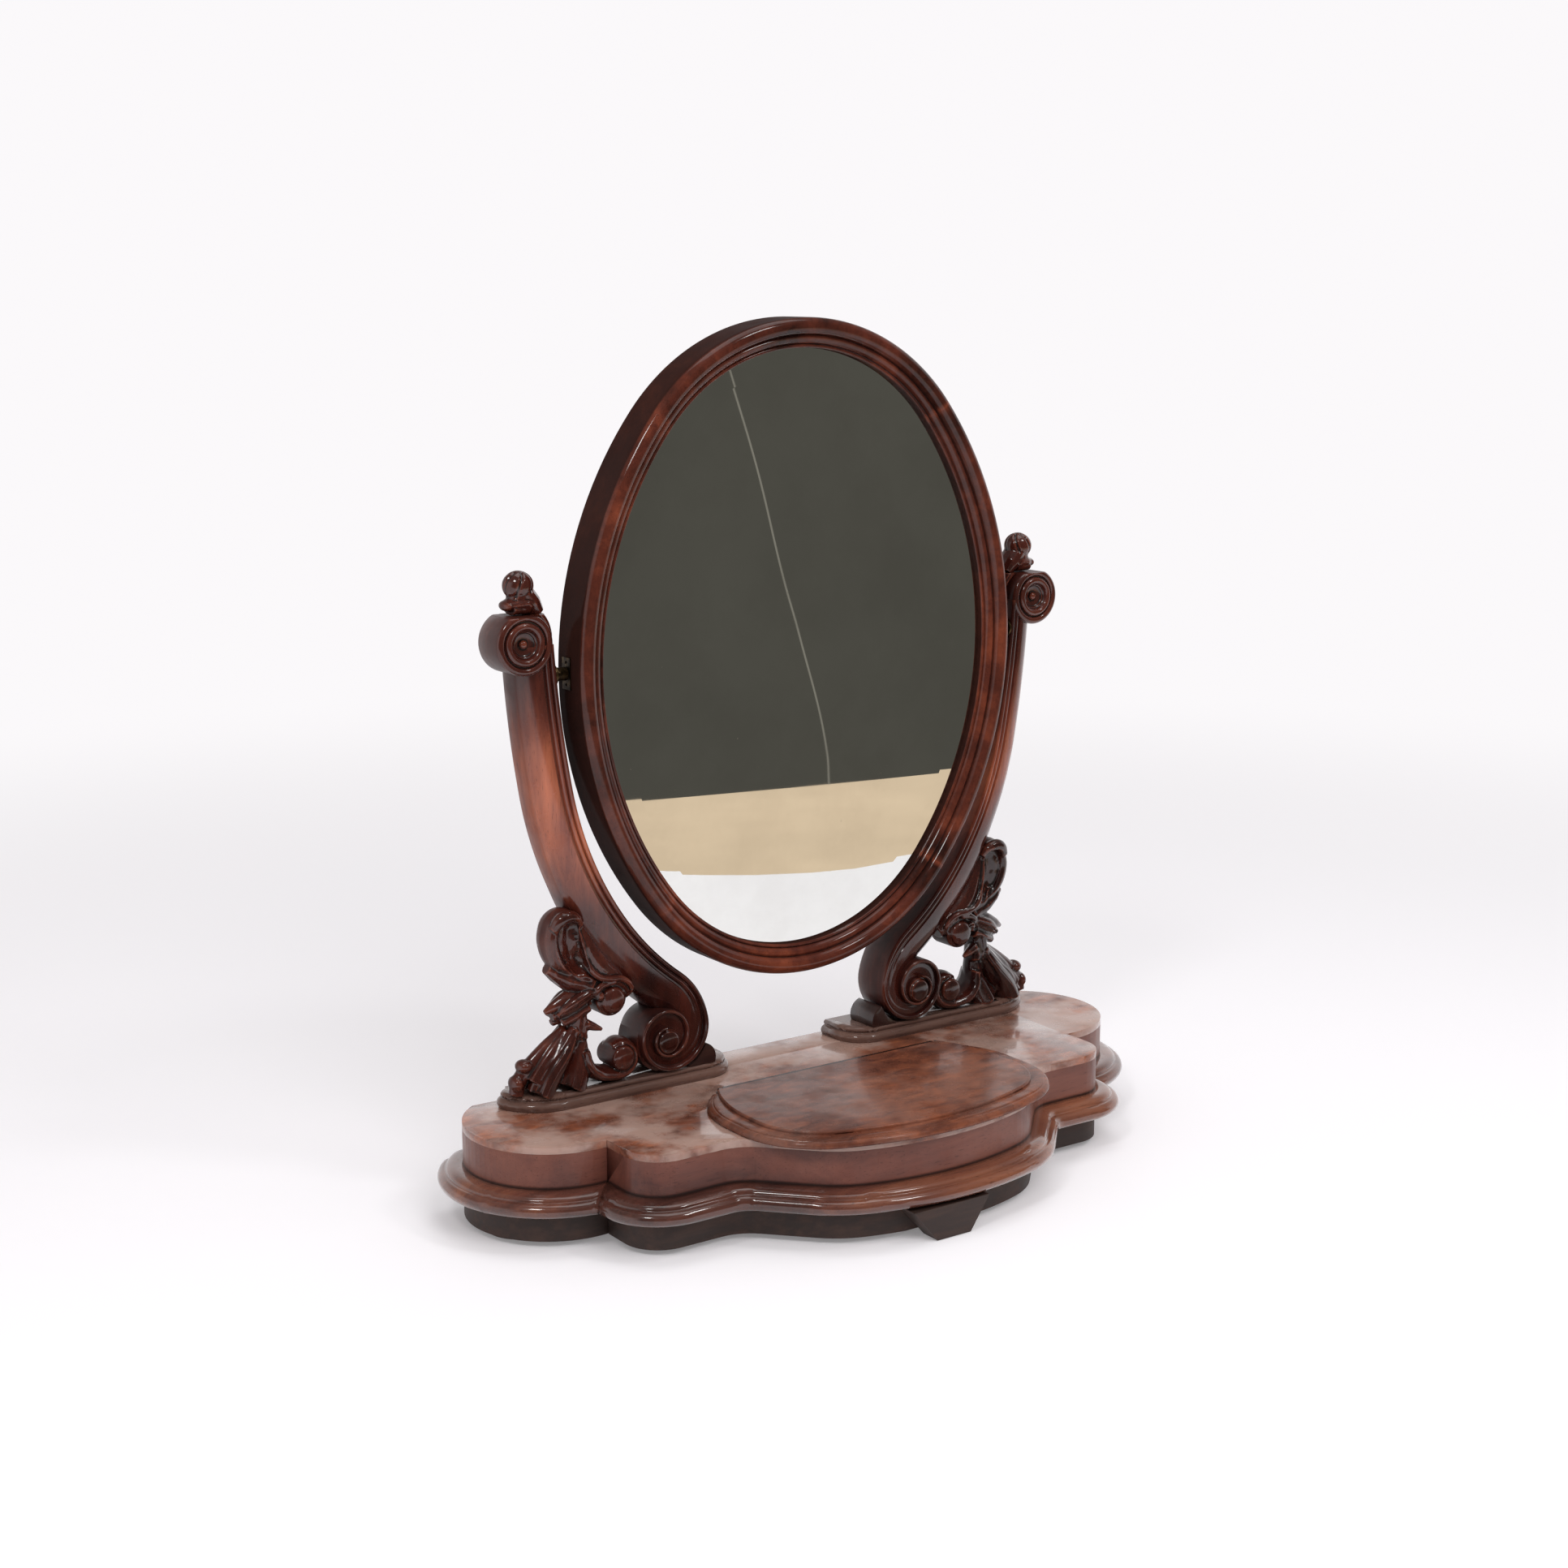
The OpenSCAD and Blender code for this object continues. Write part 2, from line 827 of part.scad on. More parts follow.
// Place on the arm: x, depth behind the front plane, height above the box top
function deep(p) = [p[0], sup_y + p[1], z_top + p[2]];

// Rounded rib of a leaf between two places
module rib(a, b, r1, r2) {
    capsule(deep(a), deep(b), r1, r2);
}

// Flat outline in the X-Z plane given a depth
module slab(d0, d1) {
    translate([0, sup_y + d1, z_top])
        rotate([90, 0, 0])
            linear_extrude(d1 - d0)
                children();
}

// Knob that finishes a small scroll, with a ring round it
module scroll_eye(x, z, r, d0, d1) {
    translate([x, sup_y + d1, z_top + z])
        rotate([90, 0, 0])
            rotate_extrude($fn = 72)
                polygon(concat(
                    [[0, 0], [r - 2, 0], [r, 2], [r, d1 - d0 - 4]],
                    arc(r - 2.4, d1 - d0 - 4, 2.4, 0, 130, 6),
                    [[r - 4.4, d1 - d0 - 3.6]],
                    [for (i = [0:6]) [(r - 4.6) * cos(i * 15), d1 - d0 - 3.4 + 4.4 * sin(i * 15)]]));
}

leaf_curl = [225, 148, 19.6];     // rolled tip that stands off the arm
eye_mid = [186, 86, 16];          // small scroll over the opening
eye_foot = [176, 32, 15];         // small scroll at the inner end of the foot

module foliage() {
    // rolled leaf tip, hollowed in front
    difference() {
        union() {
            barrel(leaf_curl[0], leaf_curl[1], leaf_curl[2], 6, 36);
            barrel(leaf_curl[0] - 2, leaf_curl[1] - 15, leaf_curl[2] + 0.6, 5, 36.5);
        }
        translate(deep([leaf_curl[0] - 1, -7, leaf_curl[1] - 3]))
            sphere(r = 17, $fn = 72);
    }
    // pointed leaf under it
    rib([206, 21, 102], [241, 20, 119], 11.5, 6.2);
    // leaf rim that joins the band
    slab(7, 35)
        polygon([[196, 158], [190, 118], [176, 100], [184, 80], [204, 78], [222, 88], [226, 106], [232, 120], [214, 172]]);
    scroll_eye(eye_mid[0], eye_mid[1], eye_mid[2], 0.4, 36);
    // short fluted leaf
    rib([206, 12, 90], [232, 12, 78], 8.5, 5);
    rib([207, 22, 92], [236, 21, 80], 10, 6);
    rib([206, 31, 86], [226, 31, 73], 7.5, 5);
    rib([208, 20, 74], [224, 20, 69], 11, 8);
    rib([206, 17, 63], [193, 16, 58.5], 5, 2.2);
    // stem, and the long leaf splayed on the foot
    slab(9, 34)
        polygon([[204, 72], [204.5, 44], [199, 30], [186, 25], [186, pad_h], [250, pad_h], [256, 26], [240, 44], [230, 58],
            [228, 72]]);
    rib([220, 20, 66], [219, 20, 34], 12.5, 14);
    rib([225, 11, 58], [254, 12, 24], 6.5, 9);
    rib([226, 21, 60], [264, 22, 28], 8, 9.5);
    rib([224, 31, 56], [256, 31, 24], 6.5, 8);
    rib([250, 21, 48], [266, 22, 37], 4.5, 5.2);
    rib([262, 19, 34], [272.5, 22, 23], 5, 4.6);
    slab(8, 35)
        polygon([[236, pad_h], [266, pad_h], [264, 22], [240, 30]]);
    // small scroll at the inner end of the foot
    scroll_eye(eye_foot[0], eye_foot[1], eye_foot[2], 1.5, 38);
    slab(4, 36)
        polygon([[166, pad_h], [212, pad_h], [212, 34], [204.6, 36], [200, 27], [193, 23], [186, 26], [170, 20]]);
}

module arm_solid() {
    arm_turn(high_arc, high_a, high_end)
        arm_section();
    arm_turn(mid_arc, low_a, high_a)
        arm_section();
    arm_turn(low_arc, toe_a, low_a)
        arm_section();
    arm_turn_in(turn_arc, 180 + toe_a, 180)
        arm_section();
    scroll_roll(eye_top[0], eye_top[1], roll_r, 36, 3);
    scroll_roll(eye_low[0], eye_low[1], 31, arm_t, 3);
    band_core();
    // outer turn of the lower scroll
    translate([disc[0], sup_y + arm_t - 0.4, z_top + disc[1]])
        rotate([90, 0, 0])
            cylinder(h = arm_t - 4, r = disc_r);
    foliage();
    // web that fills the fork between the band and the foliage
    slab(6, arm_t - 4)
        polygon([[140, 100], [150, 72], [166, 78], [186, 84], [206, 92], [216, 124], [219, 168], [212, 178], [190, 140]]);
    // leaf that runs from under the finial down the inner side of the roll
    slab(9, 34)
        polygon([[252, finial_z - z_top], [240, finial_z - z_top], [233, 402], [230.6, 393], [242, 388]]);
}

module arm_one() {
    difference() {
        arm_solid();
        // foot rests flat on the pad
        translate([40, sup_y - 20, z_top - 40])
            cube([280, 90, 40 + pad_h]);
        // hollow under the roll
        translate([276, sup_y + arm_t + 5, z_top + 352.5])
            rotate([90, 0, 0])
                cylinder(h = arm_t + 20, r = 15);
        // seat of the swing plate on the inner side
        translate([200, pivot_y, mirror_z])
            rotate([0, 90, 0])
                cylinder(h = 35.8, r = 9.2);
        translate([230, pivot_y, mirror_z])
            rotate([0, 90, 0])
                cylinder(h = 20, r = pivot_r + bore_play);
        // seat and bore of the finial
        translate([220, sup_y - 10, finial_z])
            cube([80, 70, 40]);
        translate([finial_x, finial_y, finial_z - 12.5])
            cylinder(h = 20, r = 3 + bore_play, $fn = 32);
        for (p = arm_screw_at)
            translate([p[0], p[1], z_pad - 1])
                cylinder(h = (p[0] < 200 ? 17 : 10), r = 2.5 + bore_play, $fn = 32);
    }
}

module arm_left() {
    color(mahogany)
        mirror([1, 0, 0])
            arm_one();
}

module arm_right() {
    color(mahogany)
        arm_one();
}

// Knob on a low leaf that leans inward
module finial_one() {
    translate([finial_x, finial_y, finial_z]) {
        rotate_extrude()
            polygon(concat(
                [[0, 6], [8.6, 11], [9.4, 14]],
                [for (i = [-3:8]) [13 * cos(i * 11.25), 23.4 + 12 * sin(i * 11.25)]]));
        translate([0, 12, 0])
            rotate([90, 0, 0])
                linear_extrude(23)
                    polygon([[-17.4, 0], [-13, 7], [-9, 14], [-7, 17], [8, 17], [10, 13.5], [14, 12.6], [17.4, 10.6], [18, 8.4],
                        [16.4, 6.6], [13.6, 6], [13, 0]]);
        translate([0, 0, -12])
            cylinder(h = 12.5, r = 3, $fn = 32);
    }
}

module finial_left() {
    color(mahogany)
        mirror([1, 0, 0])
            finial_one();
}

module finial_right() {
    color(mahogany)
        finial_one();
}

// Small toe behind the inner side of each lower scroll
module toe_one() {
    intersection() {
        translate([98, sup_y + 38, z_pad + 5])
            rotate([90, 0, 0])
                cylinder(h = 34, r = 14);
        difference() {
            translate([78, sup_y + 2, z_pad])
                cube([40, 40, 24]);
            translate([disc[0], sup_y + 50, z_top + disc[1]])
                rotate([90, 0, 0])
                    cylinder(h = 60, r = disc_r + glue);
        }
    }
}

module toe_left() {
    color(dark_wood)
        mirror([1, 0, 0])
            toe_one();
}

module toe_right() {
    color(dark_wood)
        toe_one();
}

// Oval frame: four arcs, centre of the oval at mirror_z
end_r = oval_a - 30.5;
end_c = oval_b - end_r;
side_r = (end_r * end_r - oval_a * oval_a - end_c * end_c) / (2 * (end_r - oval_a));
side_c = side_r - oval_a;
join_a = atan2(end_c, side_c);

// x inward from the outer side, y front to back (towards +Y)
module frame_section() {
    w = frame_w;
    polygon(concat(
        [[0, 115], [0, 82]],
        arc(7, 81.3, 7, 176, 345, 12),
        [[w - 10.6, 80.6], [w - 9.4, 80.2], [w - 7.6, 81.6], [w - 5.4, 84.2]],
        arc(w - 2.5, 84.6, 2.5, 188, 358, 8),
        [[w, 91], [w - 7, 91], [w - 7, 115]]));
}

// Sweep round part of the oval; angles are those of the arc at p
module oval_arc(side, a0, a1, r) {
    c = side == 0 ? [-side_c, 0, side_r] : side == 1 ? [0, end_c, end_r] : side == 2 ? [side_c, 0, side_r] : [0, -end_c, end_r];
    g = asin(hair / 2 / c[2]);
    translate([c[0], 0, mirror_z + c[1]])
        rotate([90, 0, 0])
            rotate([0, 0, a0 + g])
                rotate_extrude(angle = a1 - a0 - 2 * g)
                    translate([c[2], 0])
                        mirror([1, 0])
                            mirror([0, 1])
                                children();
}

module oval_ring() {
    oval_arc(0, -join_a, join_a)
        children();
    oval_arc(1, join_a, 180 - join_a)
        children();
    oval_arc(2, 180 - join_a, 180 + join_a)
        children();
    oval_arc(3, 180 + join_a, 360 - join_a)
        children();
}

module swing_cut() {
    for (s = [0, 1])
        mirror([s, 0, 0]) {
            translate([oval_a - 1, pivot_y - 6.1, mirror_z - 13.1])
                cube([10, 12.2, 26.2]);
            translate([oval_a - 12.5, pivot_y, mirror_z])
                rotate([0, 90, 0])
                    cylinder(h = 20, r = pivot_r + 0.3);
        }
}

split_a = 185;   // glued joint seen on the left side, just under the pivot

module frame_top() {
    color(mahogany)
        oval_arc(1, join_a, 180 - join_a)
            frame_section();
}

module frame_left_upper() {
    color(mahogany)
        difference() {
            oval_arc(2, 180 - join_a, split_a)
                frame_section();
            swing_cut();
        }
}

module frame_left_lower() {
    color(mahogany)
        oval_arc(2, split_a, 180 + join_a)
            frame_section();
}

module frame_bottom() {
    color(mahogany)
        oval_arc(3, 180 + join_a, 360 - join_a)
            frame_section();
}

module frame_right() {
    color(mahogany)
        difference() {
            oval_arc(0, -join_a, join_a)
                frame_section();
            swing_cut();
        }
}

function quarter_oval(d) = concat(
    arc(-side_c, 0, side_r - d, 2, join_a - 2, 9),
    arc(0, end_c, end_r - d, join_a + 3, 87, 10));

function full_oval(d) = concat(
    quarter_oval(d),
    [for (p = flip(quarter_oval(d))) p],
    [for (p = quarter_oval(d)) [-p[0], -p[1]]],
    [for (p = flip(quarter_oval(d))) [-p[0], -p[1]]]);

module oval_core(d, y0, y1) {
    translate([0, y1, mirror_z])
        rotate([90, 0, 0])
            linear_extrude(y1 - y0)
                polygon(full_oval(d));
}

// Bevelled plate: edge under the lip of the frame, centre stands proud
glass_y = 91;      // back of the rebate the plate lies against
glass_rise = 1.4;  // how far the flat centre stands in front of it

module mirror_glass() {
    color(silvered) {
        oval_ring()
            polygon([[frame_w - 6.5, glass_y], [frame_w + 0.5, glass_y], [frame_w + 9, glass_y - glass_rise],
                [frame_w + 20, glass_y - glass_rise], [frame_w + 20, glass_y + glass_t], [frame_w - 6.5, glass_y + glass_t]]);
        oval_core(frame_w + 14, glass_y - glass_rise - step, glass_y + glass_t + step);
    }
}

pack_y0 = glass_y + glass_t;
board_y0 = 109;

module packing_section() {
    polygon([[frame_w - 6.8, pack_y0], [frame_w + 1.5, pack_y0], [frame_w + 1.5, board_y0], [frame_w - 6.8, board_y0]]);
}

screw_a = [for (i = [0:7]) i];

function back_screw_at(i) =
    let (k = i % 2, q = floor(i / 2), sx = (q == 0 || q == 3) ? 1 : -1, sz = q < 2 ? 1 : -1)
        k == 0 ? [sx * (-side_c + (side_r - frame_w + 2.5) * cos(14)), sz * (side_r - frame_w + 2.5) * sin(14)]
               : [sx * (end_r - frame_w + 2.5) * cos(66), sz * (end_c + (end_r - frame_w + 2.5) * sin(66))];

module back_screw_holes(r, y0, y1) {
    for (i = screw_a)
        translate([back_screw_at(i)[0], y1, mirror_z + back_screw_at(i)[1]])
            rotate([90, 0, 0])
                cylinder(h = y1 - y0, r = r, $fn = 24);
}

module packing_strips() {
    color(pine)
        difference() {
            for (k = [0:3])
                oval_arc(k, (k == 0 ? -join_a : k == 1 ? join_a : k == 2 ? 180 - join_a : 180 + join_a) + 0.6,
                    (k == 0 ? join_a : k == 1 ? 180 - join_a : k == 2 ? 180 + join_a : 360 - join_a) - 0.6)
                    packing_section();
            back_screw_holes(1.2 + bore_play, 100, 110);
        }
}

module backboard() {
    color(pine)
        difference() {
            union() {
                oval_ring()
                    translate([frame_w - 6.8, board_y0])
                        square([24, 6]);
                oval_core(frame_w + 6, board_y0 + step, board_y0 + 6 - step);
            }
            back_screw_holes(1.2 + bore_play, 108, 116);
            back_screw_holes(2.8, 113.6, 116);
        }
}

module backboard_screws() {
    color(brass)
        for (i = screw_a)
            translate([back_screw_at(i)[0], 115, mirror_z + back_screw_at(i)[1]])
                rotate([90, 0, 0]) {
                    cylinder(h = 1.4, r = 2.6, $fn = 24);
                    translate([0, 0, 1.3])
                        cylinder(h = 12.5, r = 1.2, $fn = 24);
                }
}

// Swing movement, one side: plate let into the arm with its pin, and the
// plate let into the frame
module swing_pin_one() {
    translate([0, pivot_y, mirror_z])
        rotate([0, 90, 0])
            union() {
                translate([0, 0, 233.4])
                    cylinder(h = 2.4, r = 9);
                translate([0, 0, 222.2])
                    cylinder(h = 11.3, r = 5.6);
                translate([0, 0, 209.5])
                    cylinder(h = 39.5, r = pivot_r);
            }
}

module frame_plate_one() {
    translate([0, pivot_y, mirror_z])
        difference() {
            translate([oval_a - 1, -6, -13])
                cube([2, 12, 26]);
            rotate([0, 90, 0])
                translate([0, 0, oval_a - 3])
                    cylinder(h = 8, r = pivot_r + pivot_play);
            for (s = [-1, 1])
                translate([oval_a - 3, 0, s * 9])
                    rotate([0, 90, 0])
                        cylinder(h = 8, r = 1.3, $fn = 24);
        }
}

module swing_pin_left() {
    color(brass)
        mirror([1, 0, 0])
            swing_pin_one();
}

module swing_pin_right() {
    color(brass)
        swing_pin_one();
}

module frame_plate_left() {
    color(brass)
        mirror([1, 0, 0])
            frame_plate_one();
}

module frame_plate_right() {
    color(brass)
        frame_plate_one();
}

plinth_board();
plinth_moulding_front();
plinth_moulding_left();
plinth_moulding_right();
under_frame();
foot_front();
foot_front_left();
foot_front_right();
foot_end_left();
foot_end_right();
foot_dowels();
box_sides();
box_top();
trinket_tray();
bearer_left();
bearer_right();
arm_screws();
lid_board();
lid_panel();
hinge_box_left();
hinge_box_right();
hinge_lid_left();
hinge_lid_right();
hinge_pins();
pad_left();
pad_right();
arm_left();
arm_right();
finial_left();
finial_right();
toe_left();
toe_right();
frame_top();
frame_left_upper();
frame_left_lower();
frame_bottom();
frame_right();
mirror_glass();
packing_strips();
backboard();
backboard_screws();
swing_pin_left();
swing_pin_right();
frame_plate_left();
frame_plate_right();
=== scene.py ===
"""Looks of a dressing table mirror: polished mahogany, old glass and carved scroll supports.

Everything is in metres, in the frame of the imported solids: X along the width, -Y towards the
sitter, +Z up, with the origin on the table top under the middle of the base.
"""

import logging
import math
from contextlib import contextmanager
from dataclasses import dataclass
from enum import Enum
from typing import Iterable, Iterator, Sequence

import bpy
import numpy as np
from mathutils import Matrix, Vector


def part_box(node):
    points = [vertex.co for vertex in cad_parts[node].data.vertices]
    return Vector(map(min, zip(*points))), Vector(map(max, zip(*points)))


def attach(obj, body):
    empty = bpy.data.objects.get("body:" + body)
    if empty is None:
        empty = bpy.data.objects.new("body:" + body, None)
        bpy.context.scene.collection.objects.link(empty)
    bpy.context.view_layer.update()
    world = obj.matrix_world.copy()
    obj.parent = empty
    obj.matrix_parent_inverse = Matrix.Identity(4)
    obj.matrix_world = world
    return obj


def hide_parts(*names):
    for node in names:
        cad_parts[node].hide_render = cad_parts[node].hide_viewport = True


log = logging.getLogger("dressing_table_mirror")

Thing = bpy.types.Object
Material = bpy.types.Material
Pair = tuple[float, float]
Point = tuple[float, float, float]
Knot = tuple[float, float, float, float]
Colour = tuple[float, float, float]
Turn = tuple[Point, Point, float, int]
Stretch = tuple[int, float, float]

MM = 0.001
HOLLOW = "hollow"
# how close points are merged: on new meshes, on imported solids, and across the hair joints of glued lengths
MERGE, SOLID_MERGE, HAIR_JOINT = 0.00001, 0.00002, 0.00004

# what age leaves on the polish, and painted shade: dark pores; dirt and painted shade in hollows; painted shade on the
# sides; a painted shadow in the lid's gap; painted shade with dirt where the box meets the plinth; bloom; darker
# carved ends
PORE_DIRT: Colour = (0.014, 0.006, 0.005)
HOLLOW_DIRT_AND_SHADE: Colour = (0.012, 0.007, 0.006)
SIDE_SHADE: Colour = (0.026, 0.012, 0.010)
GAP_SHADOW: Colour = (0.014, 0.007, 0.006)
JUNCTION_SHADE: Colour = (0.014, 0.008, 0.007)
BLOOM: Colour = (0.47, 0.315, 0.262)
DARKENED: Colour = (0.25, 0.20, 0.23)


class Grain(Enum):
    """The way the grain runs through a piece."""

    ALONG_X = (0.10, 1.0, 1.0)
    ALONG_Z = (1.0, 1.0, 0.10)
    END_ON = (0.8, 0.8, 0.8)
    FLAME = (0.5, 1.0, 1.0)


class Wave:
    """A node socket that can be used in a Python expression on numbers."""

    def __init__(self, tree: "Shader", socket: bpy.types.NodeSocket) -> None:
        """Wraps an output socket of a shader's node."""
        self.tree = tree
        self.socket = socket

    def _math(self, operation: str, *values: "Wave | float") -> "Wave":
        """One Math node on some values, in order."""
        return self.tree.node("ShaderNodeMath", {"operation": operation}, dict(enumerate(values)))

    def __add__(self, other: "Wave | float") -> "Wave":
        """Sum."""
        return self._math("ADD", self, other)

    __radd__ = __add__

    def __sub__(self, other: "Wave | float") -> "Wave":
        """Difference."""
        return self._math("SUBTRACT", self, other)

    def __rsub__(self, other: "Wave | float") -> "Wave":
        """Difference, the other way round."""
        return self._math("SUBTRACT", other, self)

    def __mul__(self, other: "Wave | float") -> "Wave":
        """Product."""
        return self._math("MULTIPLY", self, other)

    __rmul__ = __mul__

    def least(self, other: "Wave | float") -> "Wave":
        """The smaller of two."""
        return self._math("MINIMUM", self, other)

    def most(self, other: "Wave | float") -> "Wave":
        """The larger of two."""
        return self._math("MAXIMUM", self, other)

    def root(self) -> "Wave":
        """Square root."""
        return self._math("SQRT", self)

    def size(self) -> "Wave":
        """Absolute value."""
        return self._math("ABSOLUTE", self)

    def between(self, low: float, high: float) -> "Wave":
        """A smooth step from 0 at low to 1 at high; low may be the larger.

        Args:
            low: value at which the result is 0.
            high: value at which the result is 1.

        Returns:
            The stepped value.
        """
        return self.tree.node(
            "ShaderNodeMapRange",
            {"interpolation_type": "SMOOTHSTEP", "clamp": True},
            {"Value": self, "From Min": low, "From Max": high, "To Min": 0.0, "To Max": 1.0},
        )


class Shader:
    """The node tree of one material or world, with one method that adds any node."""

    def __init__(self, name: str, world: bool = False) -> None:
        """Makes an empty material or world.

        Args:
            name: its name.
            world: whether it is the world's.
        """
        self.material = (bpy.data.worlds if world else bpy.data.materials).new(name)
        self.material.use_nodes = True
        self.tree = self.material.node_tree
        self.tree.nodes.clear()
        self.output = self.tree.nodes.new("ShaderNodeOutputWorld" if world else "ShaderNodeOutputMaterial")
        self.glow = "ShaderNodeBackground" if world else "ShaderNodeEmission"

    def node(
        self,
        kind: str,
        settings: dict[str, object] | None = None,
        inputs: dict[object, object] | None = None,
        output: str | int = 0,
    ) -> Wave:
        """Adds a node.

        Args:
            kind: the node's type.
            settings: its settings; a ramp's stops are given as "stops".
            inputs: values or links of its sockets, by name or number.
            output: which output to return.

        Returns:
            The chosen output.
        """
        made = self.tree.nodes.new(kind)
        for key, value in (settings or {}).items():
            if key == "stops":
                self._stops(made, value)
            else:
                setattr(made, key, value)
        for key, value in (inputs or {}).items():
            if isinstance(value, Wave):
                self.tree.links.new(value.socket, made.inputs[key])
            else:
                made.inputs[key].default_value = value
        return Wave(self, made.outputs[output])

    @staticmethod
    def _stops(ramp: bpy.types.Node, stops: Sequence[tuple[float, Colour]]) -> None:
        """Sets a colour ramp.

        Args:
            ramp: the ramp node.
            stops: place and colour of each stop, in order.
        """
        elements = ramp.color_ramp.elements
        while len(elements) < len(stops):
            elements.new(0.5)
        for element, (place, colour) in zip(elements, stops):
            element.position = place
            element.color = (*colour, 1.0)

    def place(self, scale: Sequence[float] = (1.0, 1.0, 1.0), shift: Sequence[float] = (0.0, 0.0, 0.0)) -> Wave:
        """Object coordinates, times a factor on each axis and shifted."""
        where = self.node("ShaderNodeTexCoord", output="Object")
        return self.node("ShaderNodeMapping", None, {"Vector": where, "Scale": tuple(scale), "Location": tuple(shift)})

    def axes(self) -> tuple[Wave, Wave, Wave]:
        """Object coordinates, one number an axis."""
        return self.split("Object")

    def split(self, kind: str) -> tuple[Wave, Wave, Wave]:
        """One number an axis of one of Texture Coordinate's outputs.

        Args:
            kind: which output.

        Returns:
            Its x, y and z.
        """
        where = self.node("ShaderNodeTexCoord", output=kind)
        outputs = self.node("ShaderNodeSeparateXYZ", None, {0: where}).socket.node.outputs
        return tuple(Wave(self, outputs[n]) for n in range(3))

    def noise(self, where: Wave, scale: float, detail: float = 4.0, rough: float = 0.55, bend: float = 0.0) -> Wave:
        """Noise about 0.5 at a place, with its scale, detail, roughness and distortion."""
        inputs = {"Vector": where, "Scale": scale, "Detail": detail, "Roughness": rough, "Distortion": bend}
        return self.node("ShaderNodeTexNoise", None, inputs)

    def blend(self, amount: Wave | float, first: Wave | Colour, second: Wave | Colour, mode: str = "MIX") -> Wave:
        """Mixes two colours.

        Args:
            amount: 0 for the first, 1 for the second.
            first: the first colour.
            second: the second colour.
            mode: how they are mixed.

        Returns:
            The mixed colour.
        """
        return self.node(
            "ShaderNodeMix",
            {"data_type": "RGBA", "blend_type": mode, "clamp_factor": True},
            {0: amount, 6: self._opaque(first), 7: self._opaque(second)},
            output=2,
        )

    @staticmethod
    def _opaque(colour: Wave | Colour) -> Wave | Knot:
        """A colour as a socket takes it."""
        return colour if isinstance(colour, Wave) else (*colour, 1.0)

    def shine(self, colour: Wave | Colour, strength: float = 1.0) -> Wave:
        """A surface that glows, or a world's light; at strength 1 its colour shows as it is written."""
        return self.node(self.glow, None, {"Color": self._opaque(colour), "Strength": strength})

    def choose(self, share: Wave, first: Wave, second: Wave) -> Wave:
        """The first surface where the share is 0, the second where it is 1."""
        return self.node("ShaderNodeMixShader", None, {0: share, 1: first, 2: second})

    def ray(self, kind: str) -> Wave:
        """1 on rays of a kind, 0 on others."""
        return self.node("ShaderNodeLightPath", output=f"Is {kind} Ray")

    def show(self, surface: Wave) -> Material:
        """Gives the material or world its surface, and returns it."""
        self.tree.links.new(surface.socket, self.output.inputs["Surface"])
        return self.material

    def bump(self, height: Wave, strength: float, distance: float) -> Wave:
        """The normal of a height, with the bump's strength and its depth in metres."""
        return self.node("ShaderNodeBump", None, {"Height": height, "Strength": strength, "Distance": distance})

    def finish(self, **sockets: object) -> Material:
        """Adds the Principled surface, its sockets named with underscores for spaces."""
        inputs = {key.replace("_", " "): value for key, value in sockets.items()}
        return self.show(self.node("ShaderNodeBsdfPrincipled", None, inputs))


